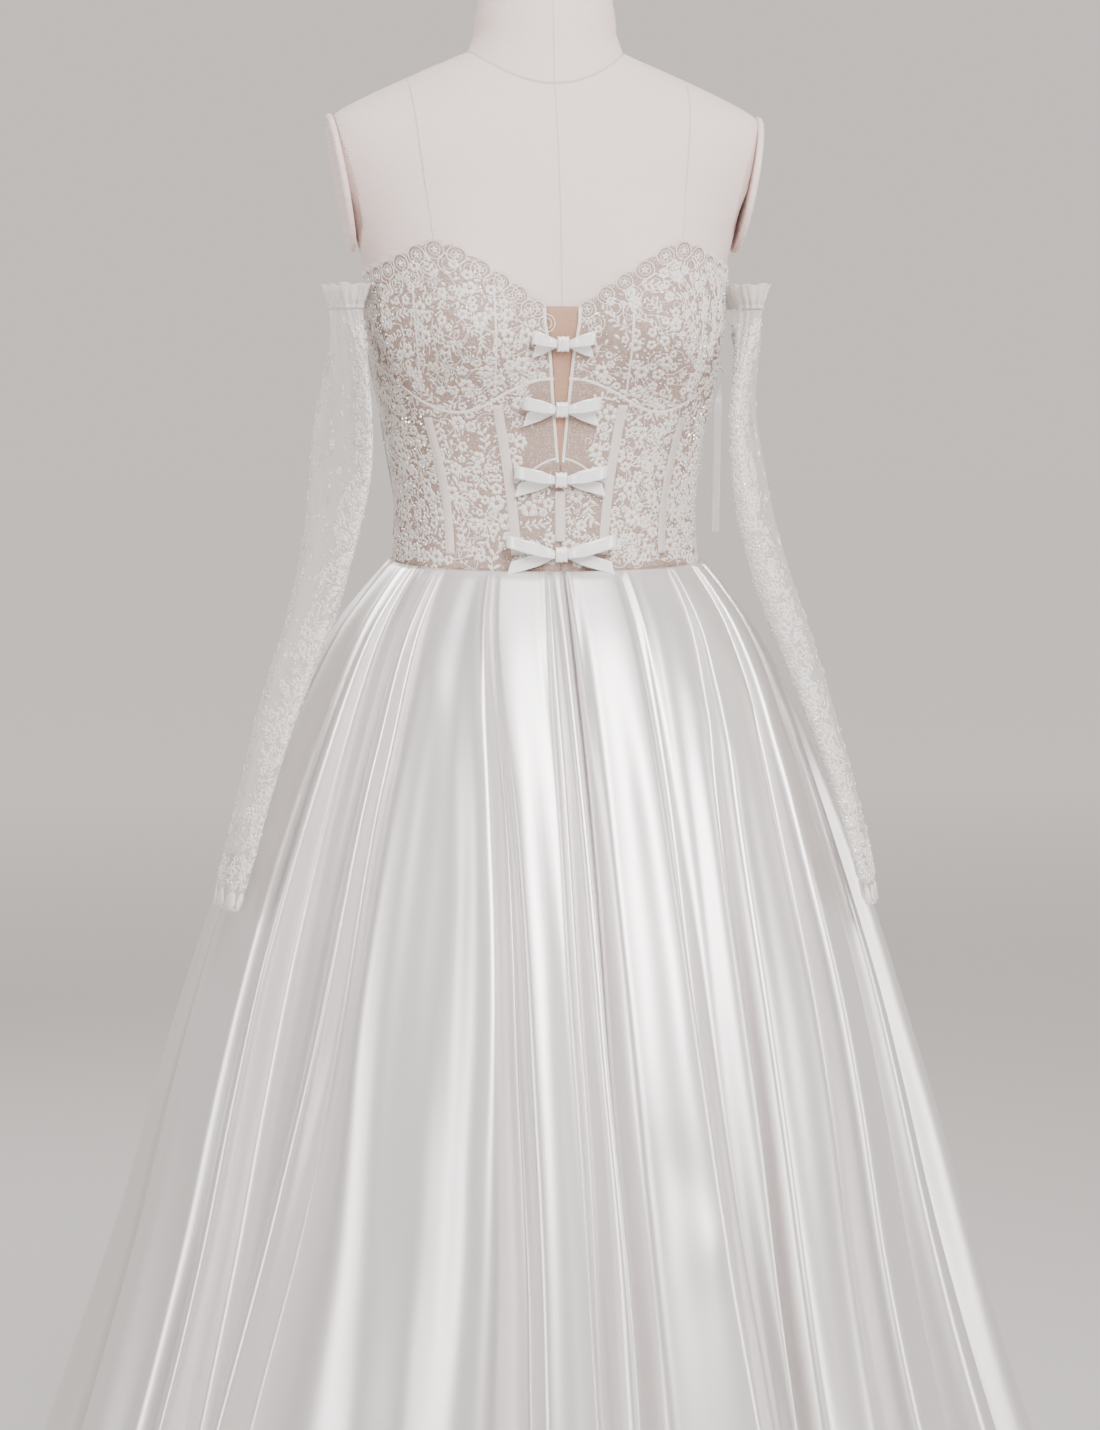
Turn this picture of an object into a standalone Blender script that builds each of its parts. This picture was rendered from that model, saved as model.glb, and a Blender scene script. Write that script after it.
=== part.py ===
"""Strapless pleated wedding dress with loose lace sleeves, on a limbless dress form.

Metres, +Z up. The floor is z = 0 and the origin is the middle of the stand's underside. The front of the
dress faces -Y, and left and right are as seen from the front: left is -X. Angles round the body run from
the centre front (0) towards +X (90), the centre back (180).
"""
import math

import bmesh
import bpy
from mathutils import Matrix, Vector

# Driving sizes
WAIST_Z = 1.060            # waist seam at the sides
WAIST_DIP = 0.006          # the seam lies lower at the centre front
HEM_Z = 0.004              # the hem hangs just above the floor
SEAM_GAP = 0.0003          # between pieces that are sewn together
FORM_CLEARANCE = 0.0009    # between the form and the bodice
BODICE_WALL = 0.0012       # lace, net and mesh together
SKIRT_WALL = 0.0015        # heavy satin with its facing
SLEEVE_WALL = 0.0011
RIBBON_WALL = 0.0010
SKIN = FORM_CLEARANCE + BODICE_WALL   # outside of the bodice, measured from the form

# Columns of the section tables of the body, neck and skirt
Z, HALF_WIDTH, FRONT, BACK, FOLD_GROWTH = range(5)

# The form, and so the bodice on it: half width, front depth and back depth at each height
BODY_SECTIONS = (
    (0.800, 0.1400, 0.098, 0.108),
    (0.860, 0.1550, 0.107, 0.120),
    (0.920, 0.1580, 0.109, 0.123),
    (0.980, 0.1460, 0.103, 0.112),
    (1.030, 0.1300, 0.095, 0.096),
    (1.060, 0.1232, 0.092, 0.0905),
    (1.100, 0.1210, 0.090, 0.0870),
    (1.140, 0.1256, 0.091, 0.0868),
    (1.173, 0.1316, 0.093, 0.0885),
    (1.206, 0.1380, 0.095, 0.092),
    (1.247, 0.1436, 0.097, 0.097),
    (1.290, 0.1470, 0.097, 0.100),
    (1.330, 0.1560, 0.095, 0.101),
)
TORSO_HEIGHTS = (0.800, 0.860, 0.930, 1.000, 1.040, 1.067, 1.092, 1.117, 1.142, 1.163, 1.180, 1.195,
                 1.211, 1.227, 1.243, 1.262, 1.284, 1.307, 1.330)
BUST_X = 0.085             # bust point from the centre line
BUST_Z = 1.243
BUST_RISE = 0.040
BUST_SPREAD = 0.052        # sideways
BUST_ABOVE = 0.066         # fades slowly towards the neckline
BUST_BELOW = 0.044         # and quickly towards the underbust seam

# Shoulder rings from the chest up to the neck seam: side_x, side_z, front_y, front_z, back_y, back_z
SHOULDER_RINGS = (
    (0.1700, 1.358, 0.0905, 1.352, 0.1010, 1.356),
    (0.1790, 1.386, 0.0850, 1.374, 0.0990, 1.382),
    (0.1790, 1.407, 0.0790, 1.394, 0.0950, 1.405),
    (0.1690, 1.419, 0.0735, 1.409, 0.0895, 1.425),
    (0.1450, 1.432, 0.0680, 1.421, 0.0825, 1.443),
    (0.1100, 1.448, 0.0625, 1.431, 0.0745, 1.459),
    (0.0790, 1.461, 0.0590, 1.436, 0.0670, 1.470),
    (0.0630, 1.468, 0.0570, 1.440, 0.0620, 1.476),
)
NECK_RINGS = (
    (1.490, 0.0575, 0.0520, 0.0560),
    (1.518, 0.0538, 0.0485, 0.0525),
    (1.545, 0.0530, 0.0475, 0.0515),
)
ARM_PLANE_Z = 1.3076       # lower end of the flat armhole plate
ARM_PLANE_X = 0.1530
ARM_PLANE_LEAN = 0.178     # the plate leans out towards its top
PLATE_HEIGHT = 0.112
PLATE_DEPTH = 0.088
PLATE_THICKNESS = 0.005
PLATE_MIDDLE_Y = 0.002
NECK_CAP_THICKNESS = 0.008

POLE_RADIUS = 0.014
BASE_RADIUS = 0.190
BASE_ROUNDING = 0.004
BASE_EDGE = 0.012
BASE_HUB_RADIUS = 0.032
BASE_HUB_TOP = 0.045

# Bodice seams: angle of each seam line at three heights
SEAM_HEIGHTS = (WAIST_Z, 1.130, 1.200)
PRINCESS_SEAM = (16.0, 19.0, 22.5)
SIDE_FRONT_SEAM = (43.0, 46.5, 52.0)
SIDE_SEAM = (90.0, 90.0, 90.0)
BACK_SEAM = (136.0, 136.0, 136.0)
# Half width of the slit at the centre front, from its foot up: z, half_width
SLIT_EDGES = ((1.132, 0.0000), (1.172, 0.0036), (1.190, 0.0051), (1.225, 0.0079), (1.250, 0.0120),
              (1.270, 0.0125))
# Height of the two edges round the body: degrees, z
UNDERBUST = ((0, 1.206), (8, 1.205), (18, 1.196), (28, 1.184), (38, 1.180), (50, 1.187), (65, 1.204),
             (80, 1.218), (90, 1.221))
NECKLINE = ((0, 1.262), (6, 1.264), (12, 1.275), (18, 1.285), (25, 1.296), (31, 1.306), (38, 1.313),
            (43, 1.314), (50, 1.309), (60, 1.301), (70, 1.296), (80, 1.292), (90, 1.288), (110, 1.275),
            (130, 1.263), (155, 1.256), (180, 1.254))
CUP_ROWS = 9               # rows of faces in the cups
FRONT_ROWS = 6             # rows of faces in the panels under the cups
BACK_ROWS = 8              # and in the back panels
BACK_COLUMNS = 10
SETTLING_ROUNDS = 6        # a seam leans, so a point of an edge on it is found in a few rounds
SCALLOP_DROP = 0.0042      # notches between the petals of the lace edge
INSERT_TOP = 1.2625
INSERT_FOOT = 1.134
INSERT_ROWS = 8
MEAN_RADIUS = 0.13         # of the bodice, to turn short lengths into angles

# Tapes over the boning: seam they follow, lowest and highest point
CHANNEL_WIDTH = 0.008
CHANNEL_LIFT = 0.0004
CENTER_CHANNEL = (1.077, 1.117)
PRINCESS_CHANNEL = (1.066, 1.186)
SIDE_CHANNEL = (1.066, 1.176)
BACK_CHANNEL = (1.066, 1.252)

# Covered buttons down the centre back
BUTTON_RADIUS = 0.0055
BUTTON_THICKNESS = 0.0042
BUTTON_COUNT = 7
BUTTON_TOP_Z = 1.236
BUTTON_SPACING = 0.0262

# Ribbon bows down the centre front: z, width, rise of the loops, drop of the tails, forward hang
BOWS = (
    (1.2330, 0.051, 0.0050, 0.0060, 0.0008),
    (1.1815, 0.063, 0.0050, 0.0085, 0.0008),
    (1.1260, 0.075, 0.0065, 0.0085, 0.0008),
    (1.0670, 0.089, 0.0110, 0.0115, 0.0050),
)
RIBBON_WIDTH = 0.0095
KNOT_HALF_WIDTH = 0.0045
KNOT_HALF_HIGH = 0.0052    # inside the band of the knot
KNOT_HALF_DEEP = 0.0031
KNOT_CLEAR = 0.0052        # the ribbons stay flat as far out as this
LOOP_GAP = 0.0010          # between the two layers of a loop at the knot
LOOP_SWELL = 0.0026
LOOP_OFF_TAIL = 0.0010     # the loops stand this much off the tails past the knot
KNOT_BACK = 0.0005         # between the back of the knot and the bodice
KNOT_SIDES = 12

# Hanger ribbons at the underarms
HANGER_TOP_Z = 1.277
HANGER_STEP = 0.018
HANGER_STEPS = 12
HANGER_HALF_WIDTH = 0.0048
HANGER_RIGHT_DEG = 93.5
HANGER_LEFT_DEG = -97.0
HANGER_FREE_Z = 1.215      # below this the right one hangs free, a little inwards
HANGER_LEAN = 0.02

# Skirt: the mean outline at each height, and how far its folds have opened there
SKIRT_SECTIONS = (
    (WAIST_Z, 0.1264, 0.0954, 0.0936, 0.05),
    (1.038, 0.1450, 0.1110, 0.1110, 0.10),
    (1.010, 0.1650, 0.1280, 0.1300, 0.19),
    (0.970, 0.1860, 0.1470, 0.1520, 0.28),
    (0.910, 0.2120, 0.1730, 0.1800, 0.38),
    (0.830, 0.2425, 0.2030, 0.2140, 0.51),
    (0.740, 0.2730, 0.2360, 0.2490, 0.63),
    (0.640, 0.3015, 0.2700, 0.2860, 0.74),
    (0.520, 0.3330, 0.3090, 0.3290, 0.85),
    (0.360, 0.3830, 0.3590, 0.3880, 0.97),
    (0.180, 0.4470, 0.4170, 0.4550, 1.08),
    (HEM_Z, 0.5100, 0.4720, 0.5220, 1.18),
)
THIGH_Z = 0.880
KNEE_Z = 0.700
CALF_Z = 0.360
THIGH_SHARE = 0.28         # of the way back from the knee angle to the waist angle
# One row for each fold line: its angle at the waist, at the knee and from the calf down, and how far it
# stands out of the mean outline (mm), crests above zero and grooves below
AT_WAIST, AT_KNEE, AT_CALF, REACH = range(4)
FOLD_LINES = (
    (-180.0, -180.0, -180.0, -20), (-173.0, -172.5, -171.5, 26), (-161.0, -162.0, -163.0, 13),
    (-153.0, -153.5, -153.0, -20), (-147.5, -147.5, -146.5, 26), (-134.0, -135.5, -136.0, 12),
    (-127.0, -128.0, -128.0, -20), (-122.0, -122.0, -121.5, 25), (-110.0, -112.0, -112.0, 12),
    (-103.5, -103.5, -102.5, -18), (-98.5, -98.0, -96.0, 24), (-89.0, -90.0, -88.5, 10),
    (-83.5, -83.5, -80.5, -16), (-78.0, -77.0, -72.0, 22), (-69.5, -67.0, -65.5, 6),
    (-66.0, -63.0, -61.5, -11), (-62.5, -59.0, -57.8, 21), (-59.5, -56.0, -54.8, -17),
    (-50.5, -47.5, -52.2, -11), (-47.0, -44.2, -49.2, 20), (-44.5, -41.6, -46.2, -15),
    (-36.0, -34.0, -31.5, 15), (-29.5, -23.5, -24.0, 3), (-26.0, -16.0, -17.5, 11),
    (-24.0, -10.8, -8.6, -19),
    (-20.5, -7.2, -5.0, 20), (-10.5, -3.4, -2.0, 8), (-4.6, -1.0, 0.4, -11),
    (-1.8, 1.6, 2.8, 17), (0.8, 3.7, 5.1, -16), (7.0, 8.6, 9.6, 12),
    (17.0, 15.2, 17.0, 20), (22.0, 18.6, 20.4, -18), (30.0, 21.6, 21.9, -3),
    (39.5, 24.9, 23.2, 7), (44.0, 27.4, 24.6, -16), (47.5, 30.6, 27.6, 21),
    (56.0, 38.6, 33.4, 11), (62.0, 44.8, 38.4, -15), (65.5, 48.6, 42.0, 18),
    (72.0, 53.4, 46.8, 12), (76.0, 57.0, 51.2, -13), (79.5, 61.0, 56.4, 20),
    (84.5, 69.5, 66.0, -11), (88.5, 76.5, 75.0, 19), (95.5, 88.5, 89.0, -15),
    (99.5, 95.5, 96.0, 24), (109.0, 109.0, 110.0, 12), (115.5, 117.0, 118.0, -18),
    (120.5, 122.5, 124.0, 25), (132.5, 134.0, 135.5, 12), (139.5, 141.0, 142.0, -20),
    (145.0, 147.0, 148.5, 26), (159.0, 161.0, 162.5, 12), (180.0, 180.0, 180.0, -20),
)
SKIRT_PANELS = {           # name: waist angles of its two seams, both in grooves
    "skirt_back_left": (-180.0, -127.0),
    "skirt_side_left": (-127.0, -83.5),
    "skirt_front_left": (-83.5, 0.8),
    "skirt_front_right": (0.8, 84.5),
    "skirt_side_right": (84.5, 139.5),
    "skirt_back_right": (139.5, 180.0),
}
NARROW_FOLD = 4.6          # fold lines closer than this (degrees) need no column between them
COLUMN_STEP = 10.0         # and in wider ones the columns are at most this far apart

# Sleeves: flattened tubes that hang beside the bodice. Each ring has its middle, the half thickness and
# half width of the flat tube, and how far its front edge turns in towards the body
SLEEVE_COLUMNS = ("z", "left_x", "right_x", "left_y", "right_y", "half_thick", "half_wide", "turn")
SLEEVE_RINGS = (
    (1.2610, 0.1628, 0.1628, -0.010, -0.010, 0.0130, 0.050, 2),
    (1.2350, 0.1622, 0.1615, -0.020, -0.020, 0.0110, 0.052, 7),
    (1.2100, 0.1650, 0.1600, -0.025, -0.025, 0.0090, 0.058, 12),
    (1.1730, 0.1682, 0.1590, -0.030, -0.030, 0.0090, 0.066, 15),
    (1.1320, 0.1710, 0.1620, -0.035, -0.035, 0.0120, 0.068, 15),
    (1.0910, 0.1770, 0.1665, -0.040, -0.042, 0.0150, 0.062, 13),
    (1.0420, 0.1885, 0.1785, -0.047, -0.052, 0.0165, 0.055, 10),
    (1.0090, 0.1985, 0.1890, -0.055, -0.062, 0.0165, 0.050, 9),
    (0.9440, 0.2235, 0.2090, -0.074, -0.084, 0.0130, 0.044, 11),
    (0.8940, 0.2390, 0.2230, -0.086, -0.100, 0.0110, 0.041, 10),
    (0.8200, 0.2600, 0.2400, -0.100, -0.122, 0.0080, 0.036, 13),
    (0.7920, 0.2670, 0.2450, -0.104, -0.129, 0.0070, 0.035, 12),
)
SLEEVE_SIDES = 16
BAND_HEIGHT = 0.018
BAND_GATHERS = 16
BAND_WAVE = 0.0011
CUFF_SCALLOP = 0.0040

MATERIALS = {              # name: colour, roughness, metallic
    "linen": ((0.76, 0.70, 0.66), 0.85, 0.0),
    "lace": ((0.80, 0.75, 0.71), 0.75, 0.0),
    "mesh": ((0.72, 0.58, 0.49), 0.70, 0.0),
    "satin": ((0.86, 0.85, 0.84), 0.35, 0.0),
    "metal": ((0.60, 0.60, 0.60), 0.35, 1.0),
    "painted": ((0.80, 0.78, 0.75), 0.45, 0.0),
}


def clear_scene():
    for old in list(bpy.data.objects):
        bpy.data.objects.remove(old, do_unlink=True)


def make_material(node, kind):
    """Every piece has a material of its own, in the colour of its kind."""
    colour, roughness, metallic = MATERIALS[kind]
    material = bpy.data.materials.new(node)
    material.use_nodes = True
    shader = material.node_tree.nodes["Principled BSDF"]
    shader.inputs["Base Color"].default_value = (*colour, 1.0)
    shader.inputs["Roughness"].default_value = roughness
    shader.inputs["Metallic"].default_value = metallic
    return material


def add_object(name, mesh, kind):
    node = bpy.data.objects.new(name, mesh)
    mesh.materials.clear()
    mesh.materials.append(make_material(name, kind))
    mesh.shade_smooth()
    mesh.set_sharp_from_angle(angle=math.radians(40))
    collection.objects.link(node)
    node.parent = stand_point
    return node


def smooth_table(rows, key, column):
    """Read one column of a table at a key, on a smooth curve through its rows."""
    keys = [row[0] for row in rows]
    if key <= keys[0] and keys[0] < keys[-1] or key >= keys[0] and keys[0] > keys[-1]:
        return rows[0][column]
    for index in range(len(rows) - 1):
        low, high = sorted((keys[index], keys[index + 1]))
        if low <= key <= high:
            before = rows[max(index - 1, 0)]
            start, end = rows[index], rows[index + 1]
            after = rows[min(index + 2, len(rows) - 1)]
            span = end[0] - start[0]
            part = (key - start[0]) / span
            slope_in = (end[column] - before[column]) / (end[0] - before[0]) * span
            slope_out = (after[column] - start[column]) / (after[0] - start[0]) * span
            p2, p3 = part * part, part ** 3
            return ((2 * p3 - 3 * p2 + 1) * start[column] + (p3 - 2 * p2 + part) * slope_in
                    + (3 * p2 - 2 * p3) * end[column] + (p3 - p2) * slope_out)
    return rows[-1][column]


def straight(keys, values, key):
    """Straight interpolation in a short list, held level past its ends."""
    if key <= keys[0]:
        return values[0]
    for index in range(len(keys) - 1):
        if key <= keys[index + 1]:
            part = (key - keys[index]) / (keys[index + 1] - keys[index])
            return values[index] + part * (values[index + 1] - values[index])
    return values[-1]


def bust_rise(x, z):
    """How far the two bust forms stand forward of the plain torso."""
    spread = BUST_ABOVE if z > BUST_Z else BUST_BELOW
    level = math.exp(-((z - BUST_Z) / spread) ** 2)
    return BUST_RISE * level * (math.exp(-((x - BUST_X) / BUST_SPREAD) ** 2)
                                + math.exp(-((x + BUST_X) / BUST_SPREAD) ** 2))


def oval(half_width, front, back, angle):
    """A point on an oval that is deeper or flatter at the back than at the front."""
    depth = front if math.cos(angle) > 0 else back
    return half_width * math.sin(angle), -depth * math.cos(angle)


def body(angle, z, lift=0.0):
    """A point on the torso, moved straight out of its surface by lift."""
    def plain(turn, height):
        sizes = [smooth_table(BODY_SECTIONS, height, column) for column in (HALF_WIDTH, FRONT, BACK)]
        x, y = oval(*sizes, turn)
        if y < 0:
            y -= bust_rise(x, height) * min(1.0, math.cos(turn) * 3)
        return Vector((x, y, height))
    point = plain(angle, z)
    if not lift:
        return point
    step = 0.004
    across = plain(angle + step * 5, z) - plain(angle - step * 5, z)
    upward = plain(angle, z + step) - plain(angle, z - step)
    return point + across.cross(upward).normalized() * lift


def front_point(x, z, lift):
    """A point in front of the bodice: straight forward of its outer face by lift."""
    half_width = smooth_table(BODY_SECTIONS, z, HALF_WIDTH)
    surface = body(math.asin(x / half_width), z)
    return Vector((x, surface.y - SKIN - lift, z))


def waist_seam(angle):
    return WAIST_Z - WAIST_DIP * max(0.0, math.cos(angle)) ** 0.8


def mesh_from_rows(name, rows, closed):
    """Faces between rows of points, low row first, points running towards +X along the front."""
    count = len(rows[0])
    points = [point for row in rows for point in row]
    faces = []
    for row in range(len(rows) - 1):
        for column in range(count if closed else count - 1):
            right = (column + 1) % count
            faces.append((row * count + column, row * count + right,
                          (row + 1) * count + right, (row + 1) * count + column))
    mesh = bpy.data.meshes.new(name)
    mesh.from_pydata(points, [], faces)
    return mesh


def cloth(name, rows, thickness, kind, closed=False, outward=False):
    """A cloth wall: the rows give its outer face, or its inner face when it thickens outward."""
    node = add_object(name, mesh_from_rows(name, rows, closed), kind)
    wall = node.modifiers.new("wall", "SOLIDIFY")
    wall.thickness = thickness
    wall.offset = 1.0 if outward else -1.0
    wall.use_even_offset = True
    return node


def solid(name, rings, kind):
    """A closed body through rings of points, with a flat face at each end."""
    mesh = mesh_from_rows(name, rings, closed=True)
    bm = bmesh.new()
    bm.from_mesh(mesh)
    bm.verts.ensure_lookup_table()
    count = len(rings[0])
    last = len(bm.verts) - count
    bm.faces.new([bm.verts[index] for index in reversed(range(count))])
    bm.faces.new([bm.verts[last + index] for index in range(count)])
    bm.to_mesh(mesh)
    bm.free()
    return add_object(name, mesh, kind)


def from_bmesh(name, kind, build, matrix):
    mesh = bpy.data.meshes.new(name)
    bm = bmesh.new()
    build(bm)
    bmesh.ops.transform(bm, matrix=matrix, verts=bm.verts)
    bm.to_mesh(mesh)
    bm.free()
    return add_object(name, mesh, kind)


# The form


def form_angles():
    """Columns of the form: close together over the bust, wider round the back."""
    front = [math.radians(6.0 * step) for step in range(-10, 11)]
    rest = [math.radians(60 + 12 * step) for step in range(1, 20)]
    return front + rest


def arm_plane_x(z):
    return ARM_PLANE_X + (z - ARM_PLANE_Z) * ARM_PLANE_LEAN


def shoulder_point(row, angle):
    side_x, side_z, front_y, front_z, back_y, back_z = row
    facing = math.sin(angle) ** 2
    middle_z = front_z if math.cos(angle) > 0 else back_z
    x, y = oval(side_x, front_y, back_y, angle)
    z = side_z * facing + middle_z * (1 - facing)
    limit = arm_plane_x(z)
    return Vector((max(-limit, min(limit, x)), y, z))


def build_form():
    angles = form_angles()
    rings = [[body(angle, z) for angle in angles] for z in TORSO_HEIGHTS]
    rings += [[shoulder_point(row, angle) for angle in angles] for row in SHOULDER_RINGS]
    rings += [[Vector((*oval(half_width, front, back, angle), z)) for angle in angles]
              for z, half_width, front, back in NECK_RINGS]
    solid("form_torso", rings, "linen")

    top_z, half_width, front, back = NECK_RINGS[-1]
    middle_y = (back - front) / 2
    place = (Matrix.Translation((0, middle_y, top_z + SEAM_GAP + NECK_CAP_THICKNESS / 2))
             @ Matrix.Diagonal((half_width, (front + back) / 2, 1, 1)))
    cap = from_bmesh("form_neck_cap", "painted", lambda bm: bmesh.ops.create_cone(
        bm, cap_ends=True, segments=28, radius1=1, radius2=1, depth=NECK_CAP_THICKNESS), place)
    round_edges(cap, 0.002)

    lean = math.atan(ARM_PLANE_LEAN)
    middle_z = ARM_PLANE_Z + PLATE_HEIGHT / 2
    out = SEAM_GAP + PLATE_THICKNESS / 2
    for side, name in ((-1, "form_arm_plate_left"), (1, "form_arm_plate_right")):
        place = (Matrix.Translation((side * (arm_plane_x(middle_z) + out * math.cos(lean)), PLATE_MIDDLE_Y,
                                     middle_z - out * math.sin(lean)))
                 @ Matrix.Rotation(side * (math.pi / 2 + lean), 4, "Y")
                 @ Matrix.Diagonal((PLATE_HEIGHT / 2, PLATE_DEPTH / 2, 1, 1)))
        plate = from_bmesh(name, "linen", lambda bm: bmesh.ops.create_cone(
            bm, cap_ends=True, segments=28, radius1=1, radius2=1, depth=PLATE_THICKNESS), place)
        round_edges(plate, 0.0015)


def round_edges(node, width):
    bevel = node.modifiers.new("edges", "BEVEL")
    bevel.width = width
    bevel.segments = 1
    bevel.limit_method = "ANGLE"
    bevel.angle_limit = math.radians(50)


def build_stand():
    """A turned base on the floor and a pole that goes up into the form."""
    profile = [(0.0, 0.0), (BASE_RADIUS - BASE_ROUNDING, 0.0), (BASE_RADIUS, BASE_ROUNDING),
               (BASE_RADIUS - BASE_ROUNDING, BASE_EDGE), (BASE_RADIUS * 0.6, BASE_EDGE * 1.5),
               (BASE_HUB_RADIUS + BASE_EDGE, BASE_EDGE * 2), (BASE_HUB_RADIUS, BASE_HUB_TOP - BASE_ROUNDING),
               (BASE_HUB_RADIUS - BASE_ROUNDING, BASE_HUB_TOP), (0.0, BASE_HUB_TOP)]
    mesh = bpy.data.meshes.new("form_base")
    points = [(radius, 0.0, z) for radius, z in reversed(profile)]
    mesh.from_pydata(points, [(index, index + 1) for index in range(len(points) - 1)], [])
    base = add_object("form_base", mesh, "metal")
    turn = base.modifiers.new("turned", "SCREW")
    turn.steps = 32
    turn.render_steps = 32
    turn.use_merge_vertices = True
    turn.merge_threshold = 0.0001
    foot = BASE_HUB_TOP + SEAM_GAP
    top = BODY_SECTIONS[0][0] - SEAM_GAP
    place = Matrix.Translation((0, 0, (foot + top) / 2))
    from_bmesh("form_pole", "metal", lambda bm: bmesh.ops.create_cone(
        bm, cap_ends=True, segments=20, radius1=POLE_RADIUS, radius2=POLE_RADIUS, depth=top - foot), place)


# The bodice


def underbust(angle):
    return smooth_table(UNDERBUST, abs(math.degrees(angle)), 1)


def neckline(angle):
    return smooth_table(NECKLINE, abs(math.degrees(angle)), 1)


def seam_line(degrees):
    """A seam as a function from height to angle."""
    return lambda z: math.radians(straight(SEAM_HEIGHTS, degrees, z))


centre_front = seam_line((0.0, 0.0, 0.0))
princess = seam_line(PRINCESS_SEAM)
side_front = seam_line(SIDE_FRONT_SEAM)
side_seam = seam_line(SIDE_SEAM)
back_seam = seam_line(BACK_SEAM)
centre_back = seam_line((180.0, 180.0, 180.0))


def slit_angle(z):
    half_width = straight([row[0] for row in SLIT_EDGES], [row[1] for row in SLIT_EDGES], z)
    return math.asin((half_width + SEAM_GAP / 2) / smooth_table(BODY_SECTIONS, z, HALF_WIDTH))


def panel_angle(seams, counts, column, z):
    """The angle of a column of a panel that crosses these seam lines, with so many columns between them."""
    half_gap = SEAM_GAP / 2 / MEAN_RADIUS
    lines = [seam(z) for seam in seams]
    lines[0] += half_gap
    lines[-1] -= half_gap
    for first, last, count in zip(lines, lines[1:], counts):
        if column <= count:
            return first + (last - first) * column / count
        column -= count
    return lines[-1]


def bodice_panel(name, side, seams, counts, bottom, top, rows, halves=False, scalloped=False):
    """One panel between two seam lines and two edges.

    A panel with halves has two columns for each one below it, and its lower edge stays straight across
    each pair, so that the two edges match.
    """
    def edge_point(column, along):
        angle = panel_angle(seams, counts, column, SEAM_HEIGHTS[-1])
        for _ in range(SETTLING_ROUNDS):
            low = bottom(angle) + SEAM_GAP / 2
            high = top(angle) - SEAM_GAP / 2
            z = low + (high - low) * along
            angle = panel_angle(seams, counts, column, z)
        return angle, z

    def point(column, row):
        angle, z = edge_point(column, row / rows)
        if halves and column % 2 and row == 0:
            z = (edge_point(column - 1, 0)[1] + edge_point(column + 1, 0)[1]) / 2
        if scalloped and row == rows and column % 2 == 0:
            z -= SCALLOP_DROP
        return body(side * angle, z, SKIN)

    grid = [[point(column, row) for column in range(sum(counts) + 1)] for row in range(rows + 1)]
    if side < 0:
        grid = [list(reversed(line)) for line in grid]
    return cloth(name, grid, BODICE_WALL, "lace")


def build_bodice():
    for side, hand in ((-1, "left"), (1, "right")):
        bodice_panel(f"bodice_cup_{hand}", side, (slit_angle, princess, side_front, side_seam), (6, 8, 10),
                     underbust, neckline, CUP_ROWS, halves=True, scalloped=True)
        lower = (("center", slit_angle, princess, 3), ("front", princess, side_front, 4),
                 ("side", side_front, side_seam, 5))
        for place, start, end, columns in lower:
            bodice_panel(f"bodice_{place}_{hand}", side, (start, end), (columns,), waist_seam, underbust,
                         FRONT_ROWS)
        for place, start, end in (("side_back", side_seam, back_seam), ("back", back_seam, centre_back)):
            bodice_panel(f"bodice_{place}_{hand}", side, (start, end), (BACK_COLUMNS,), waist_seam, neckline,
                         BACK_ROWS, scalloped=True)

    rows = []
    for step in range(INSERT_ROWS + 1):
        z = INSERT_FOOT + (INSERT_TOP - INSERT_FOOT) * step / INSERT_ROWS
        reach = slit_angle(z) - SEAM_GAP / MEAN_RADIUS
        rows.append([body(reach * across, z, SKIN) for across in (-1, 0, 1)])
    cloth("bodice_insert", rows, BODICE_WALL, "mesh")


def on_panel(angle, z, bottom, top, count, lift):
    """A point over a panel that has this many rows between its two edges, so it follows the panel's faces."""
    low, high = bottom(angle), top(angle)
    along = (z - low) / (high - low) * count
    row = min(count - 1, max(0, math.floor(along)))
    below, above = (low + (high - low) * (row + part) / count for part in (0, 1))
    return body(angle, below, lift).lerp(body(angle, above, lift), along - row)


def panel_heights(low, high, bottom, top, count):
    """The panel's own rows between two heights, and the two heights."""
    rows = [bottom + (top - bottom) * row / count for row in range(count + 1)]
    clear = CHANNEL_WIDTH / 2
    return [low] + [z for z in rows if low + clear < z < high - clear] + [high]


def build_channels():
    """Narrow tapes over the boning, on the outside of the panels."""
    lift = SKIN + CHANNEL_LIFT + RIBBON_WALL
    channels = [("center", 1, centre_front, CENTER_CHANNEL, underbust, FRONT_ROWS)]
    for side, hand in ((-1, "left"), (1, "right")):
        channels.append((f"princess_{hand}", side, princess, PRINCESS_CHANNEL, underbust, FRONT_ROWS))
        channels.append((f"side_{hand}", side, side_front, SIDE_CHANNEL, underbust, FRONT_ROWS))
        channels.append((f"back_{hand}", side, back_seam, BACK_CHANNEL, neckline, BACK_ROWS))
    for name, side, line, (low, high), top, count in channels:
        start = side * line(low)
        rows = []
        for z in panel_heights(low, high, waist_seam(start), top(start), count):
            middle = side * line(z)
            reach = CHANNEL_WIDTH / 2 / body(middle, z).xy.length
            rows.append([on_panel(turn, z, waist_seam, top, count, lift)
                         for turn in (middle - reach, middle + reach)])
        cloth(f"channel_{name}", rows, RIBBON_WALL, "satin")


def build_buttons():
    """A plain row of covered buttons down the centre back."""
    for index in range(BUTTON_COUNT):
        z = BUTTON_TOP_Z - index * BUTTON_SPACING
        back = body(math.pi, z, SKIN + KNOT_BACK)
        place = (Matrix.Translation((0, back.y + BUTTON_THICKNESS / 2, z))
                 @ Matrix.Diagonal((BUTTON_RADIUS, BUTTON_THICKNESS / 2, BUTTON_RADIUS, 1)))
        from_bmesh(f"back_button_{index + 1}", "satin", lambda bm: bmesh.ops.create_uvsphere(
            bm, u_segments=8, v_segments=4, radius=1), place)


# Ribbons


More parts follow.
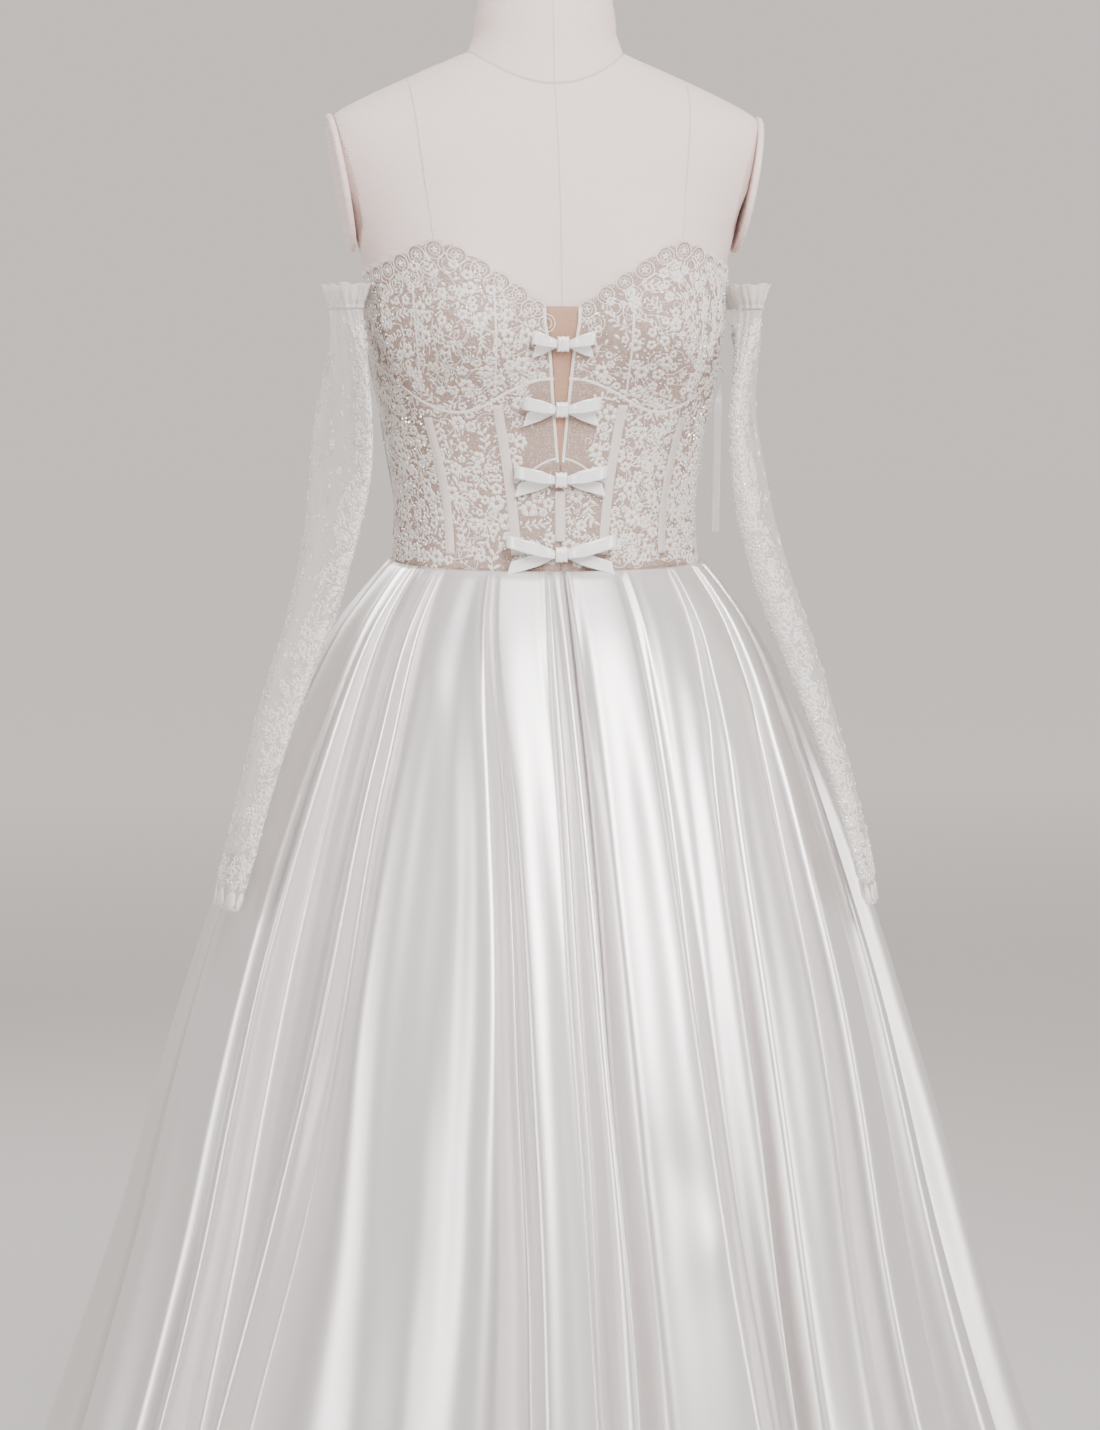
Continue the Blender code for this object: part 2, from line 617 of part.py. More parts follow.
def past_knot(x, reach):
    """How far along its free length a point of a bow is: 0 inside the knot, 1 at the end."""
    return max(0.0, (abs(x) - KNOT_CLEAR) / (reach - KNOT_CLEAR))


def pinch(x):
    """Ribbon half width: gathered at the knot and full further out."""
    return RIBBON_WIDTH / 2 * (0.80 + 0.20 * min(1.0, past_knot(x, 0.015)))


def build_bows():
    """Each bow is a ring of ribbon pinched in the middle, a strip behind it and a band round both."""
    knot_middle = KNOT_BACK + RIBBON_WALL + KNOT_HALF_DEEP
    stack = 3 * RIBBON_WALL + SEAM_GAP + LOOP_GAP
    tails_face = knot_middle - stack / 2 + RIBBON_WALL
    loops_inside = tails_face + SEAM_GAP + RIBBON_WALL
    for index, (z, width, rise, drop, hang) in enumerate(BOWS):
        name = f"bow_{index + 1}"
        reach = width / 2 - RIBBON_WALL
        spots = [KNOT_CLEAR] + [KNOT_CLEAR + (reach - KNOT_CLEAR) * part for part in (0.22, 0.5, 0.8, 0.96)]
        across = [-x for x in reversed(spots)] + spots

        def loop_point(x, layer, level):
            """Layer 0 is the back of the loop, 2 its front and 1 its rounded end."""
            along = past_knot(x, reach)
            opening = LOOP_GAP / 2 + LOOP_SWELL * 2 * math.sqrt(max(0.0, along * (1 - along)))
            if layer == 1:
                opening = LOOP_GAP / 2 + LOOP_SWELL * 0.35
            lift = loops_inside + layer * opening + hang * along + LOOP_OFF_TAIL * min(1.0, along * 4)
            return front_point(x, z + rise * along + level * pinch(x), lift)

        def tail_point(x, level):
            along = past_knot(x, reach)
            return front_point(x, z - drop * along + level * pinch(x), tails_face + hang * along)

        def knot_point(step, x):
            turn = 2 * math.pi * step / KNOT_SIDES
            cos, sin = math.cos(turn), math.sin(turn)
            square = (cos ** 4 + sin ** 4) ** -0.25
            lift = knot_middle - KNOT_HALF_DEEP * cos * square
            return front_point(x, z + KNOT_HALF_HIGH * sin * square, lift)

        ring = ([(x, 2) for x in across] + [(reach, 1)] + [(x, 0) for x in reversed(across)] + [(-reach, 1)])
        cloth(f"{name}_loops", [[loop_point(x, layer, level) for x, layer in ring] for level in (-1, 1)],
              RIBBON_WALL, "satin", closed=True, outward=True)
        strip = [-reach] + across + [reach]
        cloth(f"{name}_tails", [[tail_point(x, level) for x in strip] for level in (-1, 1)],
              RIBBON_WALL, "satin")
        cloth(f"{name}_knot", [[knot_point(step, x) for step in range(KNOT_SIDES)]
                               for x in (-KNOT_HALF_WIDTH, KNOT_HALF_WIDTH)],
              RIBBON_WALL, "satin", closed=True, outward=True)


def build_hanger_ribbons():
    """Two ribbon loops sewn in at the underarms: the right one hangs free, the left lies on the bodice."""
    lift = SKIN + KNOT_BACK + RIBBON_WALL
    half_angle = HANGER_HALF_WIDTH / (MEAN_RADIUS - 0.01)
    for name, degrees in (("ribbon_right", HANGER_RIGHT_DEG), ("ribbon_left", HANGER_LEFT_DEG)):
        middle = math.radians(degrees)
        rows = []
        for step in reversed(range(HANGER_STEPS)):
            z = HANGER_TOP_Z - HANGER_STEP * step
            rows.append([on_panel(middle + reach, z, waist_seam, neckline, BACK_ROWS, lift)
                         for reach in (-half_angle, half_angle)])
        if degrees > 0:
            hang_x = max(row[0].x for row in rows) - KNOT_BACK
            for row in rows:
                for point in row:
                    if point.z < HANGER_FREE_Z:
                        point.x = max(point.x, hang_x - (HANGER_FREE_Z - point.z) * HANGER_LEAN)
        cloth(name, rows, RIBBON_WALL, "satin")


# The sleeves


def sleeve_ring(z, side, steps, wave=0.0, waves=0, grow=0.0):
    read = {name: smooth_table(SLEEVE_RINGS, z, column)
            for column, name in enumerate(SLEEVE_COLUMNS) if column}
    hand = "left" if side < 0 else "right"
    turn = math.radians(read["turn"])
    inward = Vector((-side * math.sin(turn), -math.cos(turn), 0))
    outward = Vector((side * math.cos(turn), -math.sin(turn), 0))
    middle = Vector((side * read[f"{hand}_x"], read[f"{hand}_y"], z))
    points = []
    for step in range(steps):
        angle = 2 * math.pi * step / steps
        swell = grow + wave * math.cos(waves * angle)
        points.append(middle + outward * ((read["half_thick"] + swell) * math.cos(angle))
                      - inward * ((read["half_wide"] + swell) * math.sin(angle)) * side)
    return points


def build_sleeves():
    top = SLEEVE_RINGS[0][0]
    cuff = SLEEVE_RINGS[-1][0]
    for side, hand in ((-1, "left"), (1, "right")):
        rings = []
        for row in reversed(SLEEVE_RINGS):
            ring = sleeve_ring(row[0], side, SLEEVE_SIDES)
            if row[0] == cuff:
                for index, point in enumerate(ring):
                    point.z += CUFF_SCALLOP if index % 2 else 0.0
            rings.append(ring)
        cloth(f"sleeve_{hand}", rings, SLEEVE_WALL, "lace", closed=True)
        rings = []
        for rise, grow, wave in ((0.0, 0.0, 0.0004), (1.0, 0.0008, BAND_WAVE)):
            ring = sleeve_ring(top, side, BAND_GATHERS * 2, wave, BAND_GATHERS, grow)
            for point in ring:
                point.z = top + 3 * SEAM_GAP + BAND_HEIGHT * rise
            rings.append(ring)
        cloth(f"sleeve_band_{hand}", rings, SLEEVE_WALL, "lace", closed=True)


# The skirt


def fold_line_angle(line, z):
    waist, knee, calf = line[:REACH]
    thigh = knee + (waist - knee) * THIGH_SHARE
    return straight((CALF_Z, KNEE_Z, THIGH_Z, WAIST_Z), (calf, knee, thigh, waist), z)


def skirt_columns(first, last):
    """Pairs of fold lines and the share between them, for every column of a panel."""
    lines = [line for line in FOLD_LINES if first <= line[AT_WAIST] <= last]
    columns = []
    for start, end in zip(lines, lines[1:]):
        gap = max(end[AT_KNEE] - start[AT_KNEE], end[AT_CALF] - start[AT_CALF])
        steps = 1 if gap < NARROW_FOLD else 1 + math.ceil(gap / COLUMN_STEP)
        columns += [(start, end, step / steps) for step in range(steps)]
    columns.append((lines[-2], lines[-1], 1.0))
    return columns


def skirt_point(column, z_row):
    start, end, share = column
    first = fold_line_angle(start, z_row)
    last = fold_line_angle(end, z_row)
    angle = math.radians(first + (last - first) * share)
    blend = (1 - math.cos(math.pi * share)) / 2
    reach = (start[REACH] + (end[REACH] - start[REACH]) * blend) / 1000
    half_width, front, back, growth = (smooth_table(SKIRT_SECTIONS, z_row, column)
                                       for column in (HALF_WIDTH, FRONT, BACK, FOLD_GROWTH))
    x, y = oval(half_width, front, back, angle)
    outward = Vector((x / half_width ** 2, y / (front if y < 0 else back) ** 2, 0)).normalized()
    point = Vector((x, y, z_row)) + outward * (reach * growth)
    if z_row == WAIST_Z:
        point.z = waist_seam(angle) - SEAM_GAP / 2
    return point


def build_skirt():
    heights = [row[Z] for row in reversed(SKIRT_SECTIONS)]
    for name, (first, last) in SKIRT_PANELS.items():
        rows = []
        for z in heights:
            row = [skirt_point(column, z) for column in skirt_columns(first, last)]
            for end, inner in ((0, 1), (-1, -2)):
                inwards = (row[inner] - row[end]).normalized()
                row[end] = row[end] + inwards * SEAM_GAP
            rows.append(row)
        cloth(name, rows, SKIRT_WALL, "satin")


clear_scene()
collection = bpy.data.collections.new("wedding_dress_on_form")
bpy.context.scene.collection.children.link(collection)
stand_point = bpy.data.objects.new("stand_point", None)
collection.objects.link(stand_point)
build_form()
build_stand()
build_bodice()
build_channels()
build_buttons()
build_bows()
build_hanger_ribbons()
build_sleeves()
build_skirt()
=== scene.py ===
"""How a strapless lace and satin wedding dress looks on its limbless dress form.

Metres, +Z up, on the floor. The front of the dress faces -Y, and left and right are as seen from the
front. Angles round the body run from the centre front (0) towards +X (90).
"""
import math
import random

import bpy
import numpy as np
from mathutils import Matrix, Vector, noise


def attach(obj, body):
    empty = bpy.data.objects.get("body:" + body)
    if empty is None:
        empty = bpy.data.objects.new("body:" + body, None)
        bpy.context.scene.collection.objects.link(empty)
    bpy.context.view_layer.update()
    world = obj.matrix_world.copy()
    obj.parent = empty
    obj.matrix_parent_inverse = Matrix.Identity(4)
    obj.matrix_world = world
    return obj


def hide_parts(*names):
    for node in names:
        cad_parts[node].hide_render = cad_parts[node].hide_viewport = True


# Sizes of the dress and its form, as in the model
WAIST_Z = 1.06
WAIST_DIP = 0.006
HEM_Z = 0.004
SKIN = 0.0021              # outside of the bodice, measured from the form
NET_FACE = SKIN - 0.0003   # face of the net, under its lace
ROUND_METRES = 0.125       # metres to a radian round the bodice, about
FRONT_RADIUS = 0.14        # the same at the centre front
HALF_WIDTH, FRONT, BACK, FOLD_GROWTH = range(1, 5)     # columns after the height
BODY_SECTIONS = (
    (0.8, 0.14, 0.098, 0.108), (0.86, 0.155, 0.107, 0.12), (0.92, 0.158, 0.109, 0.123),
    (0.98, 0.146, 0.103, 0.112), (1.03, 0.13, 0.095, 0.096), (1.06, 0.1232, 0.092, 0.0905),
    (1.1, 0.121, 0.09, 0.087), (1.14, 0.1256, 0.091, 0.0868), (1.173, 0.1316, 0.093, 0.0885),
    (1.206, 0.138, 0.095, 0.092), (1.247, 0.1436, 0.097, 0.097), (1.29, 0.147, 0.097, 0.1),
    (1.33, 0.156, 0.095, 0.101),
)
BUST_X, BUST_Z, BUST_RISE, BUST_SPREAD = 0.085, 1.243, 0.04, 0.052
BUST_ABOVE, BUST_BELOW = 0.066, 0.044
# Shoulder rings: side_x, side_z, front_y, front_z, back_y, back_z
SHOULDER_RINGS = (
    (0.17, 1.358, 0.0905, 1.352, 0.101, 1.356), (0.179, 1.386, 0.085, 1.374, 0.099, 1.382),
    (0.179, 1.407, 0.079, 1.394, 0.095, 1.405), (0.169, 1.419, 0.0735, 1.409, 0.0895, 1.425),
    (0.145, 1.432, 0.068, 1.421, 0.0825, 1.443), (0.11, 1.448, 0.0625, 1.431, 0.0745, 1.459),
    (0.079, 1.461, 0.059, 1.436, 0.067, 1.47), (0.063, 1.468, 0.057, 1.44, 0.062, 1.476),
)
NECK_RINGS = ((1.49, 0.0575, 0.052, 0.056), (1.518, 0.0538, 0.0485, 0.0525), (1.545, 0.053, 0.0475, 0.0515))
ARM_PLANE_Z, ARM_PLANE_X, ARM_PLANE_LEAN = 1.3076, 0.153, 0.178
# Rings of the torso, from the foot up: their heights and how many there are
HIP_SPAN, BUST_SPAN, NECK_FOOT = (0.8003, 1.03), (1.044, 1.328), 1.483
HIP_STEPS, BUST_STEPS, SHOULDER_STEPS, NECK_STEPS = 16, 60, 33, 14
SIDE_SEAM_ROW, CENTRE_SEAM_ROW, PRINCESS_SEAM_ROW = 100, 30, 60      # where the seams of the cover start
PRINCESS_ON_FORM = ((1.26, 1.32, 1.44), (0.094, 0.1, 0.113))     # heights, distances from the centre

# Bodice seams: degrees at three heights, and its edges: degrees, height
SEAM_HEIGHTS = (1.06, 1.13, 1.2)
PRINCESS_SEAM = (16, 19, 22.5)
SIDE_FRONT_SEAM = (43, 46.5, 52)
BACK_SEAM = (136, 136, 136)
SLIT_EDGES = ((1.132, 0), (1.172, 0.0036), (1.19, 0.0051), (1.225, 0.0079), (1.25, 0.012), (1.27, 0.0125))
UNDERBUST = (
    (0, 1.206), (8, 1.205), (18, 1.196), (28, 1.184), (38, 1.18), (50, 1.187), (65, 1.204), (80, 1.218),
    (90, 1.221),
)
NECKLINE = (
    (0, 1.262), (6, 1.264), (12, 1.275), (18, 1.285), (25, 1.296), (31, 1.306), (38, 1.313), (43, 1.314),
    (50, 1.309), (60, 1.301), (70, 1.296), (80, 1.292), (90, 1.288), (110, 1.275), (130, 1.263),
    (155, 1.256), (180, 1.254),
)
# Scallops of the lace edge: degrees where each run starts, and its number of petals
SCALLOP_RUNS = ((5, 22.5, 3), (22.5, 52, 4), (52, 90, 5), (90, 136, 5), (136, 180, 5))
SCALLOP_DROP = 0.0042
# Room that motifs leave: under the upper edge, and the plain net beside the slit
EDGE_ROOM = 0.012
PLAIN_HALF_WIDTH, PLAIN_FOOT, PLAIN_TOP = 0.026, 1.128, 1.206
SLIT_TOP, INSERT_FOOT, INSERT_TOP = 1.262, 1.134, 1.2625
CHANNEL_WIDTH, STITCH_SPACING = 0.008, 0.003
# Section of a tape: share of half its width, height
TAPE_PROFILE = (
    (-1, 0.0003), (-0.8, 0.0005), (-0.45, 0.0008), (0, 0.001), (0.45, 0.0008), (0.8, 0.0005), (1, 0.0003),
)
TUCK = 0.004               # the net goes on inside the top of the skirt
NET_WALL, MESH_WALL, TAPE_WALL = 0.0008, 0.0005, 0.0004
RIBBON_SHEET, BAND_WALL, SATIN_WALL = 0.0007, 0.0006, 0.0013
# Boning: seam in degrees, side, lowest and highest point
CHANNELS = {
    "channel_center": ((0, 0, 0), 1, 1.077, 1.117),
    "channel_princess_left": (PRINCESS_SEAM, -1, 1.066, 1.186),
    "channel_princess_right": (PRINCESS_SEAM, 1, 1.066, 1.186),
    "channel_side_left": (SIDE_FRONT_SEAM, -1, 1.066, 1.176),
    "channel_side_right": (SIDE_FRONT_SEAM, 1, 1.066, 1.176),
    "channel_back_left": (BACK_SEAM, -1, 1.066, 1.252),
    "channel_back_right": (BACK_SEAM, 1, 1.066, 1.252),
}
BUTTON_TOP_Z, BUTTON_SPACING, BUTTON_RADIUS, BUTTON_COUNT = 1.236, 0.0262, 0.0055, 7
LOOP_RADIUS = 0.0062
# Share of the radius and depth
BUTTON_PROFILE = ((0.72, 0), (1, 0.0011), (0.94, 0.0026), (0.68, 0.0038), (0.3, 0.0042), (0.02, 0.0043))

# Bows: z, width, rise of the loops, drop of the tails, forward hang
BOWS = (
    (1.233, 0.051, 0.005, 0.006, 0.0008),
    (1.1815, 0.063, 0.005, 0.0085, 0.0008),
    (1.126, 0.075, 0.0065, 0.0085, 0.0008),
    (1.067, 0.089, 0.011, 0.0115, 0.005),
)
RIBBON_WIDTH, RIBBON_WALL, TAIL_SLANT = 0.0095, 0.001, 0.0035
KNOT_HALF_WIDTH, KNOT_HALF_HIGH, KNOT_HALF_DEEP = 0.0045, 0.0052, 0.0031
KNOT_CLEAR, KNOT_BACK = 0.0052, 0.0005
LOOP_GAP, LOOP_SWELL, LOOP_OFF_TAIL, SEAM_GAP = 0.001, 0.0038, 0.001, 0.0003
HANGER_TOP_Z, HANGER_FOOT_Z, HANGER_HALF_WIDTH = 1.277, 1.079, 0.0048
HANGER_RIGHT_DEG, HANGER_LEFT_DEG, HANGER_FREE_Z, HANGER_LEAN = 93.5, -97, 1.215, 0.02
HANGER_TWIST = 1.3         # radians that the free one turns its face to the front

# Skirt: outline and growth of the folds at each height, then its fold lines
SKIRT_SECTIONS = (
    (WAIST_Z, 0.1264, 0.0954, 0.0936, 0.05), (1.038, 0.145, 0.111, 0.111, 0.1),
    (1.01, 0.165, 0.128, 0.13, 0.19), (0.97, 0.186, 0.147, 0.152, 0.28), (0.91, 0.212, 0.173, 0.18, 0.38),
    (0.83, 0.2425, 0.203, 0.214, 0.51), (0.74, 0.273, 0.236, 0.249, 0.63),
    (0.64, 0.3015, 0.27, 0.286, 0.74), (0.52, 0.333, 0.309, 0.329, 0.85),
    (0.36, 0.383, 0.359, 0.388, 0.97), (0.18, 0.447, 0.417, 0.455, 1.08),
    (HEM_Z, 0.51, 0.472, 0.522, 1.18),
)
THIGH_Z, KNEE_Z, CALF_Z, THIGH_SHARE = 0.88, 0.7, 0.36, 0.28
AT_WAIST, AT_KNEE, AT_CALF, REACH = range(4)
# Degrees at the waist, at the knee and from the calf down, and how far the line stands out (mm)
FOLD_LINES = (
    (-180, -180, -180, -20), (-173, -172.5, -171.5, 26), (-161, -162, -163, 13),
    (-153, -153.5, -153, -20), (-147.5, -147.5, -146.5, 26), (-134, -135.5, -136, 12),
    (-127, -128, -128, -20), (-122, -122, -121.5, 25), (-110, -112, -112, 12),
    (-103.5, -103.5, -102.5, -18), (-98.5, -98, -96, 24), (-89, -90, -88.5, 10),
    (-83.5, -83.5, -80.5, -16), (-78, -77, -72, 22), (-69.5, -67, -65.5, 6), (-66, -63, -61.5, -11),
    (-62.5, -59, -57.8, 21), (-59.5, -56, -54.8, -17), (-50.5, -47.5, -52.2, -11),
    (-47, -44.2, -49.2, 20), (-44.5, -41.6, -46.2, -15), (-36, -34, -31.5, 15), (-29.5, -23.5, -24, 3),
    (-26, -16, -17.5, 11), (-24, -10.8, -8.6, -19), (-20.5, -7.2, -5, 20), (-10.5, -3.4, -2, 8),
    (-4.6, -1, 0.4, -11), (-1.8, 1.6, 2.8, 17), (0.8, 3.7, 5.1, -16), (7, 8.6, 9.6, 12),
    (17, 15.2, 17, 20), (22, 18.6, 20.4, -18), (30, 21.6, 21.9, -3), (39.5, 24.9, 23.2, 7),
    (44, 27.4, 24.6, -16), (47.5, 30.6, 27.6, 21), (56, 38.6, 33.4, 11), (62, 44.8, 38.4, -15),
    (65.5, 48.6, 42, 18), (72, 53.4, 46.8, 12), (76, 57, 51.2, -13), (79.5, 61, 56.4, 20),
    (84.5, 69.5, 66, -11), (88.5, 76.5, 75, 19), (95.5, 88.5, 89, -15), (99.5, 95.5, 96, 24),
    (109, 109, 110, 12), (115.5, 117, 118, -18), (120.5, 122.5, 124, 25), (132.5, 134, 135.5, 12),
    (139.5, 141, 142, -20), (145, 147, 148.5, 26), (159, 161, 162.5, 12), (180, 180, 180, -20),
)
# Panels: first and last line in degrees at the waist, width of the cut at the hem, flat area
SKIRT_PANELS = {
    "skirt_back_left": (-180, -127, 0.6, 0.4),
    "skirt_side_left": (-127, -83.5, 0.5, 0.35),
    "skirt_front_left": (-83.5, 0.8, 0.95, 0.7),
    "skirt_front_right": (0.8, 84.5, 0.7, 0.54),
    "skirt_side_right": (84.5, 139.5, 0.78, 0.53),
    "skirt_back_right": (139.5, 180, 0.43, 0.28),
}
SKIRT_ROWS = 96
COLUMN_DEGREES = 0.55      # width of a column of the finer skirt
FOLD_LEAN = 0.009          # how far the edge of a fold rolls over the groove beside it
LEAN_REACH, LEAN_DEPTH = 7, 18   # degrees to the groove that a fold rolls over, and its depth (mm)
FOLD_BREADTH = 1.45        # over 1: broad folds between narrow grooves
PLEAT_LAP = 0.003          # step at the edge of a laid pleat, at the waist
PLEAT_LAP_LENGTH = 0.2     # the step fades over this height
PLEAT_LAP_DEGREES = 0.9
UNEVEN, RIPPLE = 0.0013, 0.0006    # slow and quicker waves of the cloth
LINE_WANDER = 0.75         # degrees that a fold strays from its line
FOLD_VARIES = 0.3          # share by which a fold swells and sinks along its length
# Soft dents: degrees and height of the middle, half width (degrees), half height (m), slant, depth (mm)
DENTS = (
    (13, 0.6, 4, 0.03, -0.4, -1.3), (16, 0.56, 3.6, 0.022, 0.7, 1.2), (12.5, 0.7, 3.2, 0.05, 0.5, 1),
    (45, 0.985, 6, 0.018, 1.1, -1.8), (52, 0.955, 5, 0.016, 1.2, 1.8), (60, 0.93, 6, 0.02, 0.9, -1.6),
    (35, 0.93, 5, 0.03, -0.8, 1.4), (-36, 0.98, 6, 0.022, -0.9, 1.6), (-44, 0.93, 5, 0.03, -0.7, -1.5),
    (-14, 0.85, 4, 0.06, 0.5, -1), (-20, 0.62, 4.5, 0.06, -0.5, 1.2), (-28, 0.48, 5, 0.05, 0.4, -1.2),
    (70, 0.7, 5, 0.04, 0.6, 1.4), (-62, 0.76, 5, 0.05, -0.6, 1.5), (110, 0.9, 6, 0.03, 0.8, -1.8),
    (150, 0.78, 5, 0.05, -0.6, 1.5), (-115, 0.86, 6, 0.03, 0.7, -1.7), (-150, 0.64, 5, 0.06, 0.5, 1.4),
)
CREASE_RISE, CREASE_FALL = 0.22, 0.14      # heights over which a crease comes and goes, at its foot and top
# Soft creases: degrees at the waist, knee and calf, half width (degrees), height (mm), top and foot
CREASES = (
    (-75, -72, -69, 1.9, -1.6, 0.9, 0.3), (-55.5, -52.5, -56, 2, 1.6, 0.98, 0.22),
    (-40.5, -38.5, -41, 2.4, 2, 0.99, 0.1), (-33.5, -29.5, -28, 2.3, -2, 1, 0.42),
    (-28, -20.5, -20.8, 1.7, -1.6, 0.93, 0.3), (-14, -4.8, -2.8, 1.2, 1.1, 0.88, 0.15),
    (10.5, 11, 12, 1.8, -1.6, 0.99, 0.35), (50.5, 33.5, 29.8, 1.6, -1.6, 0.98, 0.26),
    (68.5, 51, 44.4, 1.6, -1.4, 0.92, 0.2), (82, 65, 61, 2, -1.8, 0.95, 0.15),
    (92, 82.5, 82, 1.8, 1.6, 0.9, 0.22), (104, 102, 103, 2.2, -2.4, 0.98, 0.2),
    (112, 113, 114, 1.6, 2.4, 0.85, 0.3), (126, 128, 129.5, 2.3, -3.2, 0.98, 0.16),
    (136, 137.5, 139, 1.5, 2.2, 0.8, 0.1), (152, 154, 155.5, 2.4, -3, 0.97, 0.22),
    (165, 167, 168, 1.9, 2.6, 0.88, 0.12), (172.5, 173.5, 174, 1.7, -2.2, 0.94, 0.34),
    (-93.5, -94, -92, 2, -2.6, 0.96, 0.24), (-106.5, -107.5, -107, 1.7, 2.2, 0.86, 0.12),
    (-116.5, -117, -117, 2.3, -3, 0.99, 0.2), (-130.5, -131.5, -132, 1.6, 2.4, 0.9, 0.32),
    (-141, -141.5, -141, 2.4, -3.2, 0.98, 0.14), (-157, -157.5, -158, 1.7, 2.3, 0.84, 0.2),
    (-167.5, -167.5, -167.5, 2.4, -2.8, 0.97, 0.18), (-176, -175.5, -175, 1.5, 1.8, 0.9, 0.36),
)

# Sleeve rings: z, left_x, right_x, left_y, right_y, half_thick, half_wide, turn
SLEEVE_RINGS = (
    (1.261, 0.1628, 0.1628, -0.01, -0.01, 0.013, 0.05, 2),
    (1.235, 0.1622, 0.1615, -0.02, -0.02, 0.011, 0.052, 7),
    (1.21, 0.165, 0.16, -0.025, -0.025, 0.009, 0.058, 12),
    (1.173, 0.1682, 0.159, -0.03, -0.03, 0.009, 0.066, 15),
    (1.132, 0.171, 0.162, -0.035, -0.035, 0.012, 0.068, 15),
    (1.091, 0.177, 0.1665, -0.04, -0.042, 0.015, 0.062, 13),
    (1.042, 0.1885, 0.1785, -0.047, -0.052, 0.0165, 0.055, 10),
    (1.009, 0.1985, 0.189, -0.055, -0.062, 0.0165, 0.05, 9),
    (0.944, 0.2235, 0.209, -0.074, -0.084, 0.013, 0.044, 11),
    (0.894, 0.239, 0.223, -0.086, -0.1, 0.011, 0.041, 10),
    (0.82, 0.26, 0.24, -0.1, -0.122, 0.008, 0.036, 13),
    (0.792, 0.267, 0.245, -0.104, -0.129, 0.007, 0.035, 12),
)
SLEEVE_FOOT, SLEEVE_TOP, TULLE_TOP, SLEEVE_INSET = 0.792, 1.261, 1.2608, 0.0014
BAND_HEIGHT, BAND_GATHERS, BAND_FOOT = 0.018, 16, 1.2619
CUFF_PETALS, CUFF_SCALLOP, CUFF_PETAL, CUFF_LACE_Z = 8, 0.004, 0.015, 0.7925
# Dense lace: middle and half width in degrees; elsewhere single leaves on open net
DENSE_MIDDLE, DENSE_HALF, DENSE_TO_Z, SMALL_MOTIF, SMALL_SHARE = 112, 68, 0.83, 0.006, 0.12
SLEEVE_FOLDS = ((5, 0.4, 0.0011), (3, 2.1, 0.0014), (8, 1.1, 0.0005))   # waves round it, phase, height

# Lace
CORD_LIFT, FILL_LIFT = 0.0006, 0.00025
PETAL_SIDES, PETAL_CORD, LEAF_POINT = 7, 0.0005, 0.35
FLOWER_EYE = 0.24          # open middle of a flower, as a share of its radius
BEADED_FLOWERS = 0.33      # share of the flowers with a bead
VINE_CORD = 0.0007
CLOSENESS = 0.82           # how near motifs may come, as a share of their radii
# Leaves of a spray: place along the stem and lean
SPRAY_LEAVES = (
    (0.14, 0.95), (0.22, -0.95), (0.42, 0.85), (0.5, -0.85), (0.7, 0.75), (0.78, -0.75), (0.95, 0),
)
THREAD_EDGE = (0.05, 0.16)     # where a thread of the net ends and its ground begins
WAVES_TO_SCALE = 6.3       # waves to a metre for each unit of the wave texture's scale
# Motifs thrown at the cloth: kind, radius, tries
BODICE_MOTIFS = (
    ("cluster", 0.011, 300), ("spray", 0.01, 420), ("flower", 0.005, 500), ("spray", 0.0066, 2200),
    ("flower", 0.0036, 1200), ("leaf", 0.0028, 2600), ("leaf", 0.0019, 3000), ("vine", 0.015, 620),
    ("sequin", 0.0011, 3600),
)
SLEEVE_MOTIFS = (
    ("cluster", 0.0105, 160), ("spray", 0.0095, 260), ("flower", 0.005, 300), ("spray", 0.0064, 1300),
    ("flower", 0.0036, 700), ("leaf", 0.0028, 1500), ("leaf", 0.0019, 1700), ("vine", 0.014, 330),
    ("sequin", 0.0011, 2000),
)

# Camera: the photo's own viewing angle
CAMERA_DISTANCE = 3.2
CAMERA_AZIMUTH, CAMERA_ELEVATION = -7.5, 5
CAMERA_TARGET = Vector((0.004, 0, 0.931))
PHOTO_SPAN = 1.1726        # metres from the top of the picture to its foot, at the target
BACKDROP = (0.95, 0.865, 0.82, 1)       # the pale studio behind the dress
FLOOR_REACH = 40
# Glow: where it starts and ends along Y, least and most. The floor's glow is painted light, brighter
# towards the back.
FLOOR_GLOW, SKY_GLOW = (0.6, 8, 0, 0.58), (-0.1, 0.75, 0.17, 0.9)
WARM, WHITE = (1, 0.985, 0.97), (1, 1, 1)
# Soft boxes: name, place, height they aim at, size, watts, colour
SOFTBOXES = (
    ("front_softbox", (0.5, -2.4, 2.6), 1.15, (1, 1.3), 118, WARM),
    ("right_softbox", (2.7, -1.1, 1.4), 0.8, (0.55, 1.8), 44, WARM),
    ("left_softbox", (-2.5, -1.6, 1.4), 0.8, (0.85, 1.8), 52, WARM),
    ("top_softbox", (0, -1, 3.3), 1, (2, 1.4), 40, WHITE),
    ("back_softbox", (-1, 2.8, 2.6), 1.1, (1.8, 1.6), 50, WHITE),
)


